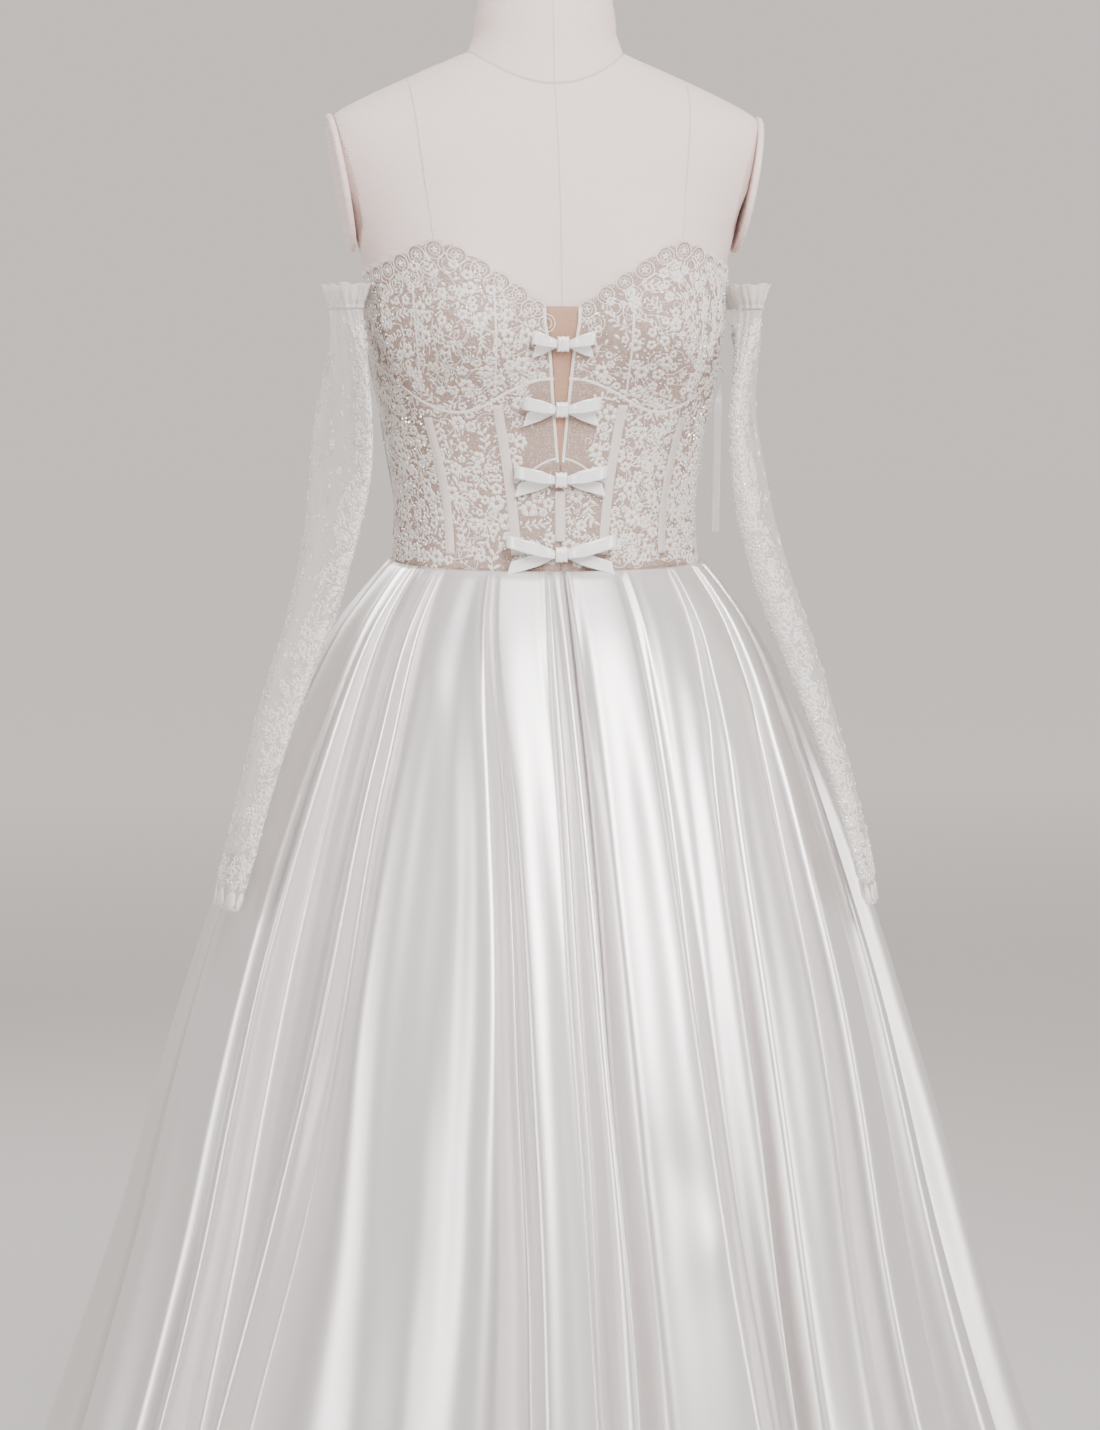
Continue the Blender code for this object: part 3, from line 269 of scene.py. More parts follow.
def smooth_table(rows, key, column):
    """Read one column of a table at a key, on a smooth curve through its rows."""
    keys = [row[0] for row in rows]
    if key <= keys[0] and keys[0] < keys[-1] or key >= keys[0] and keys[0] > keys[-1]:
        return rows[0][column]
    for index in range(len(rows) - 1):
        low, high = sorted((keys[index], keys[index + 1]))
        if low <= key <= high:
            before = rows[max(index - 1, 0)]
            start, end = rows[index], rows[index + 1]
            after = rows[min(index + 2, len(rows) - 1)]
            span = end[0] - start[0]
            part = (key - start[0]) / span
            slope_in = (end[column] - before[column]) / (end[0] - before[0]) * span
            slope_out = (after[column] - start[column]) / (after[0] - start[0]) * span
            p2, p3 = part * part, part ** 3
            return ((2 * p3 - 3 * p2 + 1) * start[column] + (p3 - 2 * p2 + part) * slope_in
                    + (3 * p2 - 2 * p3) * end[column] + (p3 - p2) * slope_out)
    return rows[-1][column]


def table_curve(rows, keys, column):
    return np.array([smooth_table(rows, key, column) for key in keys])


def fade(value, start, end):
    """0 at start, 1 at end, smooth between."""
    part = np.clip((np.asarray(value, float) - start) / (end - start), 0.0, 1.0)
    return part * part * (3 - 2 * part)


# Materials


def material(name, colour, roughness, metallic=0.0, sheen=0.0, alpha=1.0, specular=0.5):
    made = bpy.data.materials.new(name)
    made.use_nodes = True
    values = {"Base Color": (*colour, 1.0), "Roughness": roughness, "Metallic": metallic,
              "Sheen Weight": sheen, "Specular IOR Level": specular, "Alpha": alpha}
    for socket, value in values.items():
        socket_of(made, socket).default_value = value
    return made


def socket_of(made, name):
    return made.node_tree.nodes["Principled BSDF"].inputs[name]


def join(made, start, end):
    made.node_tree.links.new(start, end)


def node_of(made, kind, **settings):
    node = made.node_tree.nodes.new(kind)
    for name, value in settings.items():
        if name in node.inputs:
            node.inputs[name].default_value = value
        else:
            setattr(node, name, value)
    return node


def place_of(made, stretch=(1.0, 1.0, 1.0), kind="Object"):
    """The object's own coordinates, stretched."""
    place = node_of(made, "ShaderNodeTexCoord")
    mapping = node_of(made, "ShaderNodeMapping", Scale=stretch)
    join(made, place.outputs[kind], mapping.inputs["Vector"])
    return mapping.outputs["Vector"]


def bump_from(made, height, distance, strength):
    """Run a height value into the shader's normal."""
    bump = node_of(made, "ShaderNodeBump", Strength=strength, Distance=distance)
    join(made, height, bump.inputs["Height"])
    join(made, bump.outputs["Normal"], socket_of(made, "Normal"))


def grained(made, stretch, distance, strength, **settings):
    """A fine grain as bump, drawn out along the cloth or the brushing."""
    grain = node_of(made, "ShaderNodeTexNoise", Scale=1.0, **settings)
    join(made, place_of(made, stretch), grain.inputs["Vector"])
    bump_from(made, grain.outputs["Fac"], distance, strength)


def woven(made, threads, depth):
    """A plain weave with slubs, as bump: threads to the metre."""
    both = node_of(made, "ShaderNodeMath", operation="ADD")
    for index, direction in enumerate(("X", "Z")):
        wave = node_of(made, "ShaderNodeTexWave", Scale=threads / WAVES_TO_SCALE, Distortion=1.5,
                       Detail=1.0, bands_direction=direction, **{"Detail Scale": 0.6})
        join(made, place_of(made), wave.inputs["Vector"])
        join(made, wave.outputs["Fac"], both.inputs[index])
    bump_from(made, both.outputs["Value"], depth, 0.6)


def net_ground(made, cells, thread_colour, ground_colour):
    """A fine net: light threads round small openings that show the ground behind."""
    cell = node_of(made, "ShaderNodeTexVoronoi", feature="DISTANCE_TO_EDGE", Scale=cells)
    join(made, place_of(made), cell.inputs["Vector"])
    ramp = node_of(made, "ShaderNodeValToRGB")
    for element, colour, edge in zip(ramp.color_ramp.elements, (thread_colour, ground_colour), THREAD_EDGE):
        element.position = edge
        element.color = (*colour, 1.0)
    join(made, cell.outputs["Distance"], ramp.inputs["Fac"])
    join(made, ramp.outputs["Color"], socket_of(made, "Base Color"))


def glow_along_y(made, place, socket, start, end, least, most):
    """A glow that grows along Y from least to most, into a socket."""
    split = node_of(made, "ShaderNodeSeparateXYZ")
    glow = node_of(made, "ShaderNodeMapRange",
                   **{"From Min": start, "From Max": end, "To Min": least, "To Max": most})
    join(made, place, split.inputs["Vector"])
    join(made, split.outputs["Y"], glow.inputs["Value"])
    join(made, glow.outputs["Result"], socket)


def make_materials():
    made = {
        "satin": material("duchess_satin", (0.81, 0.77, 0.763), 0.37, metallic=0.62, specular=0.6),
        "ribbon": material("ribbon_satin", (0.97, 0.96, 0.955), 0.30, metallic=0.12, specular=0.6),
        "lace": material("lace_cord", (0.82, 0.77, 0.735), 0.6),
        "net": material("net_over_blush", (0.46, 0.33, 0.28), 0.75),
        "nude": material("nude_mesh", (0.48, 0.28, 0.19), 0.75),
        "tape": material("channel_tape", (0.68, 0.60, 0.56), 0.5),
        "tulle": material("tulle", (0.84, 0.80, 0.76), 0.6, sheen=0.2, alpha=0.32),
        "band": material("gathered_net", (0.82, 0.775, 0.735), 0.65, alpha=0.55),
        "bead": material("pearl_bead", (0.97, 0.96, 0.95), 0.22, metallic=0.4, specular=0.8),
        "sequin": material("clear_sequin", (0.97, 0.97, 0.97), 0.26, metallic=0.85),
        "linen": material("linen_cover", (0.79, 0.645, 0.61), 0.9),
        "seam": material("linen_seam", (0.62, 0.52, 0.485), 0.9),
        "paint": material("painted_cap", (0.70, 0.66, 0.61), 0.4),
        "steel": material("brushed_steel", (0.52, 0.52, 0.53), 0.34, metallic=1.0),
    }
    grained(made["satin"], (900.0, 900.0, 60.0), 0.00012, 0.35, Detail=3.0, Roughness=0.6)
    net_ground(made["net"], 620.0, (0.49, 0.38, 0.33), (0.28, 0.175, 0.14))
    net_ground(made["nude"], 900.0, (0.47, 0.285, 0.20), (0.37, 0.195, 0.125))
    woven(made["linen"], 1100.0, 0.00022)
    grained(made["steel"], (60.0, 60.0, 1500.0), 0.00004, 0.3, Detail=2.0)
    return made


# Making meshes


def shown(name, data):
    made = bpy.data.objects.new(name, data)
    bpy.context.scene.collection.objects.link(made)
    return made


def mesh_of(name, points, faces):
    mesh = bpy.data.meshes.new(name)
    mesh.from_pydata([tuple(point) for point in points], [], faces)
    return mesh


def piece(name, mesh, look, nodes=(), smooth=True):
    """A shown piece that rides on the dress, in place of the plain solids that it names."""
    made = shown(name, mesh)
    mesh.materials.append(looks[look])
    if smooth:
        mesh.shade_smooth()
    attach(made, "root")
    if nodes:
        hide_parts(*nodes)
    return made


def cloth(name, rows, look, slot, nodes, wall=0.0, closed=False, outward=False):
    """A piece between rows of points, low row first and running towards +X along the front.

    Its wall goes inwards from the points, or outwards. Without one it stays a single sheet.
    """
    rows = np.asarray(rows, float)
    height, count = rows.shape[:2]
    faces = []
    for row in range(0, (height - 1) * count, count):
        for column in range(count if closed else count - 1):
            right = (column + 1) % count
            faces.append((row + column, row + right, row + count + right, row + count + column))
    made = piece(name, mesh_of(name, rows.reshape(-1, 3).tolist(), faces), look, nodes)
    if wall:
        modifier = made.modifiers.new("wall", "SOLIDIFY")
        modifier.thickness = wall
        modifier.offset = 1.0 if outward else -1.0
    return made


class Surface:
    """A cloth surface known on an even grid, read anywhere between, with a lift along its normal."""

    def __init__(self, across, up, points):
        self.across, self.up, self.points = across, up, points
        along = np.gradient(points, across, axis=1)
        upward = np.gradient(points, up, axis=0)
        normal = np.cross(along, upward)
        self.normals = normal / np.linalg.norm(normal, axis=2, keepdims=True)
        self.across_size = np.linalg.norm(along, axis=2)[..., None]
        self.up_size = np.linalg.norm(upward, axis=2)[..., None]

    def read(self, grid, a, b):
        column, row = (np.clip((value - grade[0]) / (grade[1] - grade[0]), 0, len(grade) - 1.001)
                       for value, grade in ((a, self.across), (b, self.up)))
        c, r = column.astype(int), row.astype(int)
        cf, rf = (column - c)[..., None], (row - r)[..., None]
        low = grid[r, c] * (1 - cf) + grid[r, c + 1] * cf
        high = grid[r + 1, c] * (1 - cf) + grid[r + 1, c + 1] * cf
        return low * (1 - rf) + high * rf

    def place(self, a, b, lift):
        a, b, lift = np.broadcast_arrays(*(np.asarray(value, float) for value in (a, b, lift)))
        return self.read(self.points, a, b) + self.read(self.normals, a, b) * lift[..., None]

    def sizes(self, a, b):
        """Metres to one unit across and to one unit up, at one place."""
        spot = np.array([a]), np.array([b])
        return self.read(self.across_size, *spot)[0, 0], self.read(self.up_size, *spot)[0, 0]


def body_surface():
    """The torso from below the waist to above the neckline."""
    angles = np.linspace(-math.pi, math.pi, 1081)
    heights = np.linspace(1.040, 1.330, 146)
    width, front, back = (table_curve(BODY_SECTIONS, heights, column)[:, None]
                          for column in (HALF_WIDTH, FRONT, BACK))
    cos, sin = np.cos(angles)[None], np.sin(angles)[None]
    x = width * sin
    y = -np.where(cos > 0, front, back) * cos
    spread = np.where(heights > BUST_Z, BUST_ABOVE, BUST_BELOW)[:, None]
    level = np.exp(-((heights[:, None] - BUST_Z) / spread) ** 2)
    rise = BUST_RISE * level * (np.exp(-((x - BUST_X) / BUST_SPREAD) ** 2)
                                + np.exp(-((x + BUST_X) / BUST_SPREAD) ** 2))
    y = y - rise * np.clip(cos * 3, 0.0, 1.0)
    z = np.broadcast_to(heights[:, None], x.shape)
    return Surface(angles, heights, np.stack([x, y, z], axis=2))


def waist_seam(angle):
    return WAIST_Z - WAIST_DIP * np.maximum(0.0, np.cos(angle)) ** 0.8


def seam_angle(degrees, z):
    return np.radians(np.interp(z, SEAM_HEIGHTS, degrees))


def slit_angle(z):
    half_width = np.interp(z, *zip(*SLIT_EDGES))
    return np.arcsin((half_width + SEAM_GAP) / FRONT_RADIUS)


def neckline(angle):
    return table_curve(NECKLINE, np.degrees(np.abs(np.atleast_1d(angle))), 1)


def scallop_spots():
    """Middle angle and width in degrees of each petal of the upper edge, on one side."""
    spots = []
    for start, end, count in SCALLOP_RUNS:
        step = (end - start) / count
        spots += [(start + step * (index + 0.5), step) for index in range(count)]
    return spots


def lace_edge(angle):
    """Height of the petalled upper edge at these angles."""
    degrees = np.degrees(np.abs(angle))
    share = np.zeros_like(degrees)
    for middle, width in scallop_spots():
        inside = np.abs(degrees - middle) <= width / 2
        share = np.where(inside, np.cos(np.pi * np.clip((degrees - middle) / width, -0.5, 0.5)), share)
    return neckline(angle) - SCALLOP_DROP * (1 - share ** 0.75)


# Lace motifs: flat shapes round (0, 0), each a list of points and one of faces


def full_turn(count):
    return np.linspace(0, 2 * math.pi, count, endpoint=False)


def capped(low, high, tip):
    """Two rings of points and a middle one, with the faces between them."""
    count = len(low)
    faces = []
    for side in range(count):
        after = (side + 1) % count
        faces += [(side, after, count + after, count + side), (count + side, count + after, 2 * count)]
    return np.concatenate([low, high, [tip]]), faces


def petal_shape(length, width, point):
    """A petal or leaf from (0, 0) up: a raised cord round a thinner middle."""
    turn = full_turn(PETAL_SIDES)
    x = width / 2 * np.sin(turn) * np.abs(np.sin(turn / 2)) ** point
    y = length / 2 * (1 - np.cos(turn))
    cord = min(PETAL_CORD, width * 0.16)
    crest_x = x * (1 - 2 * cord / width)
    crest_y = length / 2 + (y - length / 2) * (1 - 2 * cord / length)
    return capped(np.stack([x, y, np.zeros_like(x)], axis=1),
                  np.stack([crest_x, crest_y, np.full_like(x, CORD_LIFT)], axis=1),
                  [0.0, length * 0.5, FILL_LIFT])


def dome_shape(radius, height, sides=6):
    """A small bead, flower centre or sequin."""
    turn = full_turn(sides)
    edge = np.stack([radius * np.cos(turn), radius * np.sin(turn), np.zeros(sides)], axis=1)
    shoulder = edge * 0.7
    shoulder[:, 2] = height * 0.75
    return capped(edge, shoulder, [0.0, 0.0, height])


def strip_faces(count):
    """Faces of a cord of rows of three points: left, top and right."""
    faces = []
    for base in range(0, count * 3 - 3, 3):
        faces += [(base, base + 1, base + 4, base + 3), (base + 1, base + 2, base + 5, base + 4)]
    return faces


def cord_shape(path, width, lift):
    """A raised cord along a short path of (x, y) points."""
    path = np.asarray(path, float)
    along = np.gradient(path, axis=0)
    side = np.stack([-along[:, 1], along[:, 0]], axis=1)
    side = side / np.linalg.norm(side, axis=1, keepdims=True) * width / 2
    zeros = np.zeros(len(path))
    rows = [np.column_stack([path + side, zeros]), np.column_stack([path, zeros + lift]),
            np.column_stack([path - side, zeros])]
    return np.stack(rows, axis=1).reshape(-1, 3), strip_faces(len(path))


def ring_shape(radius, cord, start=0.0, end=2 * math.pi, steps=16):
    """An open ring, or a part of one, of raised cord."""
    turns = np.linspace(start, end, steps)
    return cord_shape(np.column_stack([radius * np.sin(turns), radius * np.cos(turns)]), cord, CORD_LIFT)


def turned(shape, turn, shift=(0.0, 0.0)):
    spots, faces = shape
    cos, sin = math.cos(turn), math.sin(turn)
    moved = spots.copy()
    moved[:, 0] = spots[:, 0] * cos - spots[:, 1] * sin + shift[0]
    moved[:, 1] = spots[:, 0] * sin + spots[:, 1] * cos + shift[1]
    return moved, faces


class Shapes:
    """Small shapes gathered into one mesh."""

    def __init__(self):
        self.spots, self.faces, self.count = [], [], 0

    def gather(self, spots, faces):
        self.spots.append(spots)
        self.faces += [tuple(self.count + index for index in face) for face in faces]
        self.count += len(spots)

    def points(self):
        return np.concatenate(self.spots)

    def mesh(self, name):
        return mesh_of(name, self.points().tolist(), self.faces)


class Motifs(Shapes):
    """Shapes laid on a surface, at a lift from it."""

    def __init__(self, surface, lift):
        super().__init__()
        self.surface, self.lift = surface, lift

    def add(self, a, b, shape):
        spots, faces = shape
        across, up = self.surface.sizes(a, b)
        self.gather(np.stack([a + spots[:, 0] / across, b + spots[:, 1] / up, spots[:, 2]], axis=1), faces)

    def points(self):
        a, b, lift = super().points().T
        return self.surface.place(a, b, lift + self.lift)


def flower(motifs, beads, rng, a, b, radius, shift=(0.0, 0.0)):
    """Small round flower: corded petals round an open eye, with a bead in every third one."""
    petals = rng.choice((5, 6))
    start = rng.uniform(0, 2 * math.pi)
    eye = radius * FLOWER_EYE
    petal = petal_shape(radius - eye, radius * 1.75 * math.sin(math.pi / petals), 0.45)
    for index in range(petals):
        turn = start + 2 * math.pi * index / petals
        foot = (shift[0] - math.sin(turn) * eye, shift[1] + math.cos(turn) * eye)
        motifs.add(a, b, turned(petal, turn * rng.uniform(0.98, 1.02), foot))
    if rng.random() < BEADED_FLOWERS:
        beads.add(a, b, turned(dome_shape(0.0009, 0.0016, 5), 0.0, shift))


def cluster(motifs, beads, rng, a, b, radius, turn):
    """A spray of three flowers of unlike size with leaves between them."""
    leaf = petal_shape(radius * 0.42, radius * 0.17, LEAF_POINT)
    for index, size in enumerate((0.56, 0.42, 0.34)):
        lean = turn + 2 * math.pi * index / 3 + rng.uniform(-0.3, 0.3)
        reach = radius * (1.0 - size)
        flower(motifs, beads, rng, a, b, radius * size, (reach * math.cos(lean), reach * math.sin(lean)))
        for side in (0.75, 1.2):
            foot = (radius * 0.55 * math.cos(lean + side), radius * 0.55 * math.sin(lean + side))
            motifs.add(a, b, turned(leaf, lean + side - math.pi / 2, foot))


def spray(motifs, rng, a, b, radius, turn):
    """A stem with pairs of leaves and a leaf at its tip."""
    length = radius * 2
    bend = rng.uniform(-0.25, 0.25)

    def on_stem(part):
        return bend * length * math.sin(math.pi * part), length * (part - 0.5)

    stem = [on_stem(part) for part in np.linspace(0, 1, 6)]
    motifs.add(a, b, turned(cord_shape(stem, VINE_CORD, CORD_LIFT), turn))
    leaf = petal_shape(radius * 0.66, radius * 0.30, LEAF_POINT)
    for part, lean in SPRAY_LEAVES:
        local = turned(leaf, lean * rng.uniform(0.85, 1.15), on_stem(part))
        motifs.add(a, b, turned(local, turn))


def vine(motifs, rng, a, b, radius, turn):
    """A thin winding stem of cord across the ground, with a curl beside it."""
    parts = np.linspace(0, 1, 10)
    wave = rng.uniform(0.15, 0.32) * radius
    stem = np.column_stack([wave * np.sin(parts * rng.uniform(4.5, 7.5)), radius * 2 * (parts - 0.5)])
    motifs.add(a, b, turned(cord_shape(stem, VINE_CORD, CORD_LIFT * 0.8), turn))
    curl = turned(ring_shape(radius * 0.17, VINE_CORD, 0.4, 5.4, 8), 0.0, (radius * 0.2, radius * 0.45))
    motifs.add(a, b, turned(curl, turn))


def scatter(rng, kinds, inside, a_range, b_range, metre_a):
    """Circles of several sizes thrown at a region, none over another, and vines that cross them freely."""
    taken = np.zeros((0, 3))
    found = []
    for kind, radius, tries in kinds:
        for _ in range(tries):
            a, b = rng.uniform(*a_range), rng.uniform(*b_range)
            if not inside(a, b, radius):
                continue
            if kind != "vine":
                away = np.hypot(taken[:, 0] - a * metre_a, taken[:, 1] - b)
                if (away < (taken[:, 2] + radius) * CLOSENESS).any():
                    continue
                taken = np.vstack([taken, [a * metre_a, b, radius]])
            found.append((kind, a, b, radius * rng.uniform(0.86, 1.1)))
    return found


def fill_with_lace(motifs, beads, sequins, rng, spots):
    """Make each thrown circle a cluster, a flower, a spray, a stem, a leaf or a sequin."""
    for kind, a, b, radius in spots:
        turn = rng.uniform(0, 2 * math.pi)
        if kind == "cluster":
            cluster(motifs, beads, rng, a, b, radius, turn)
        elif kind == "flower":
            flower(motifs, beads, rng, a, b, radius)
        elif kind == "spray":
            spray(motifs, rng, a, b, radius, turn)
        elif kind == "vine":
            vine(motifs, rng, a, b, radius, turn)
        elif kind == "leaf":
            leaf = petal_shape(radius * 2, radius * 1.1, LEAF_POINT)
            motifs.add(a, b, turned(turned(leaf, 0.0, (0.0, -radius)), turn))
        else:
            sequins.add(a, b, dome_shape(radius, 0.0007))


def eyelashes(motifs, angle, z, width, up):
    """Fine threads that stand out past a petal of the edge."""
    for share in np.linspace(-0.42, 0.42, 9):
        foot = (share * width, -abs(share) ** 1.6 * 0.006 * up)
        tip = (foot[0] + share * 0.0022, foot[1] + 0.0030 * up)
        middle = ((foot[0] + tip[0]) / 2, (foot[1] + tip[1]) / 2)
        motifs.add(angle, z, cord_shape([foot, middle, tip], 0.0004, 0.0003))


def lace_pieces(where, hand, layers):
    """The cords, beads and sequins as three pieces."""
    made = []
    for kind, look, layer in zip(("lace", "beads", "sequins"), ("lace", "bead", "sequin"), layers):
        name = f"{where}_{kind}_{hand}"
        made.append(piece(name, layer.mesh(kind), look, smooth=kind != "sequins"))
    return made


# The bodice


def build_bodice():
    for side, hand in ((-1, "left"), (1, "right")):
        net = bodice_shell(side, hand)
        pieces = bodice_lace(side, hand, random.Random(7 + side))


def bodice_shell(side, hand):
    """Net over blush mesh, one half from the slit to the centre back, with its petalled edge."""
    share = np.linspace(0, 1, 301)
    top_angle = slit_angle(SLIT_TOP) + (math.pi - slit_angle(SLIT_TOP)) * share
    foot = waist_seam(top_angle) - TUCK
    rows = []
    for part in np.linspace(0, 1, 44):
        z = foot + (lace_edge(top_angle) - foot) * part
        slit = slit_angle(z)
        angle = slit + (math.pi - SEAM_GAP - slit) * share
        rows.append(torso.place(side * angle, z, NET_FACE)[::side])
    nodes = [f"bodice_{name}_{hand}" for name in ("cup", "center", "front", "side", "side_back", "back")]
    return cloth(f"bodice_net_{hand}", rows, "net", "lace", nodes, NET_WALL)


def near_channel(angle, z, margin):
    for degrees, side, low, high in CHANNELS.values():
        middle = side * float(seam_angle(degrees, z))
        away = abs(angle - middle) * ROUND_METRES
        if low - margin < z < high + margin and away < CHANNEL_WIDTH / 2 + margin * 0.6:
            return True
    return False


def on_bodice(angle, z, radius):
    """Whether a motif finds room: off the edges, the slit, the plain net beside it and the tapes."""
    if not float(waist_seam(angle)) < z < float(neckline(angle)[0]) - EDGE_ROOM - radius * 0.55:
        return False
    if angle < float(slit_angle(z)) + radius * 0.8 / 0.13 or angle > math.pi - (radius + 0.004) / 0.1:
        return False
    if angle * 0.12 < PLAIN_HALF_WIDTH and PLAIN_FOOT < z < PLAIN_TOP:
        return False
    return not near_channel(angle, z, radius * 0.75)


def edge_petals(motifs, beads, sequins, side):
    """Two rows of open rings along the upper edge, with a star, threads, a bead and a sequin each."""
    for middle, width in scallop_spots():
        angle = side * math.radians(middle)
        top = float(neckline(angle)[0])
        metres = math.radians(width) * torso.sizes(angle, top)[0]
        for drop, shift in ((0.48, 0.0), (1.18, 0.5)):
            for size, cord in ((0.46, 0.0008), (0.27, 0.0006)):
                ring = ring_shape(metres * size, cord)
                motifs.add(angle, top, turned(ring, 0.0, (metres * shift, -metres * drop)))
        petal = petal_shape(metres * 0.20, metres * 0.11, LEAF_POINT)
        heart = (0.0, -metres * 0.48)
        for turn in full_turn(5):
            motifs.add(angle, top, turned(turned(petal, turn), 0.0, heart))
        eyelashes(motifs, angle, top, metres, 1)
        beads.add(angle, top, turned(dome_shape(0.0010, 0.0018, 5), 0.0, heart))
        sequins.add(angle, top, turned(dome_shape(0.0011, 0.0010), 0.0, (metres / 2, -metres * 0.70)))


def cord_on(motifs, side, line, width, lift):
    """A raised cord along a line of (angle, z) points, placed straight on the surface."""
    line = np.asarray(line, float) * (ROUND_METRES, 1.0)
    spots, faces = cord_shape(line, width, lift)
    spots[:, 0] *= side / ROUND_METRES
    if side < 0:
        faces = [tuple(reversed(face)) for face in faces]
    motifs.gather(spots, faces)


def bodice_lace(side, hand, rng):
    """Generic flowers, sprays and leaves over one half of the bodice, with its edge of petals."""
    layers = [Motifs(torso, SKIN + lift) for lift in (-0.0003, 0.0001, 0.0002)]
    motifs = layers[0]
    spots = scatter(rng, BODICE_MOTIFS, on_bodice, (0.0, math.pi), (WAIST_Z, 1.31), ROUND_METRES)
    fill_with_lace(*layers, rng, [(kind, side * a, b, radius) for kind, a, b, radius in spots])
    edge_petals(*layers, side)

    edge = [(float(slit_angle(z)) + 0.010, z) for z in np.linspace(1.140, SLIT_TOP, 22)]
    cord_on(motifs, side, edge, 0.0022, 0.0010)
    seam = [(math.radians(degrees), float(smooth_table(UNDERBUST, degrees, 1)))
            for degrees in np.linspace(2.5, 89.0, 60)]
    cord_on(motifs, side, seam, 0.0024, 0.0009)
    for degrees in (PRINCESS_SEAM, SIDE_FRONT_SEAM):
        line = [(float(seam_angle(degrees, z)), z) for z in np.linspace(1.196, 1.276, 20)]
        cord_on(motifs, side, line, 0.0016, 0.0007)
    arch = [(math.radians(degrees), 1.131 + 0.012 * math.cos(math.radians(degrees * 7.6)))
            for degrees in np.linspace(0.6, 17.5, 14)]
    cord_on(motifs, side, arch, 0.0018, 0.0008)
    return lace_pieces("bodice", hand, layers)


def build_insert():
    """Plain nude mesh in the slit at the centre front."""
    rows = []
    for z in np.linspace(INSERT_FOOT, INSERT_TOP, 30):
        reach = float(slit_angle(z)) + 0.001
        rows.append(torso.place(np.linspace(-reach, reach, 9), z, SKIN - 0.0008))
    made = cloth("slit_mesh", rows, "nude", "nude_mesh", ["bodice_insert"], MESH_WALL)


def build_channels():
    """Tapes over the boning, domed over the bone, with a row of stitches along each edge."""
    stitch = cord_shape([(0.0, -0.0010), (0.0, 0.0), (0.0, 0.0010)], 0.0005, 0.0005)
    for name, (degrees, side, low, high) in CHANNELS.items():

        def on_tape(z):
            """Angle of the tape's middle at a height, and of half its width."""
            middle = side * float(seam_angle(degrees, z))
            return middle, CHANNEL_WIDTH / 2 / torso.sizes(middle, z)[0]

        rows = []
        for z in np.linspace(low, high, 40):
            middle, reach = on_tape(z)
            rows.append([torso.place(middle + reach * share, z, SKIN + rise)
                         for share, rise in TAPE_PROFILE])
        made = cloth(name + "_tape", rows, "tape", "ribbon_satin", [name], TAPE_WALL)
        stitches = Motifs(torso, SKIN + 0.0004)
        for z in np.arange(low + 0.002, high, STITCH_SPACING):
            middle, reach = on_tape(z)
            for share in (-0.82, 0.82):
                stitches.add(middle + share * reach, z, stitch)
        sewn = piece(name + "_stitches", stitches.mesh("stitches"), "lace")


def build_buttons():
    """Covered buttons down the centre back, each with its loop of cord."""
    loops = Motifs(torso, SKIN)
    hook = [(0.0008 + LOOP_RADIUS * math.sin(turn), LOOP_RADIUS * math.cos(turn))
            for turn in np.linspace(0.05, 3.1, 12)]
    turns = full_turn(24)[::-1]
    cos, sin = np.cos(turns) * BUTTON_RADIUS, np.sin(turns) * BUTTON_RADIUS
    for index in range(BUTTON_COUNT):
        z = BUTTON_TOP_Z - index * BUTTON_SPACING
        back = torso.place(math.pi - 0.001, z, SKIN + KNOT_BACK)[1]
        rows = [np.stack([cos * share, np.full_like(cos, back + depth), z + sin * share], axis=1)
                for share, depth in BUTTON_PROFILE]
        cloth(f"covered_button_{index + 1}", rows, "ribbon", "ribbon_satin", [f"back_button_{index + 1}"],
              closed=True)
        loops.add(-math.pi + 0.004, z, cord_shape(hook, 0.0012, 0.0012))
    piece("button_loops", loops.mesh("loops"), "ribbon")


# Bows and hanger ribbons


def front_point(x, z, lift):
    """Straight forward of the bodice's outer face by lift."""
    half_width = smooth_table(BODY_SECTIONS, z, HALF_WIDTH)
    surface = torso.place(math.asin(x / half_width), z, 0.0)
    return (x, surface[1] - SKIN - lift, z)


def past_knot(x, reach):
    return max(0.0, (abs(x) - KNOT_CLEAR) / (reach - KNOT_CLEAR))


def pinch(x):
    return RIBBON_WIDTH / 2 * (0.64 + 0.42 * min(1.0, past_knot(x, 0.017)))


def crease(level, x):
    """Small gathers that run out of the knot and fade along the ribbon."""
    return 0.00045 * math.cos(level * 5.5) * math.exp(-max(0.0, abs(x) - KNOT_HALF_WIDTH) / 0.006)


def ribbon(name, rows, node, **how):
    return cloth(name, rows, "ribbon", "ribbon_satin", [node], RIBBON_SHEET, **how)


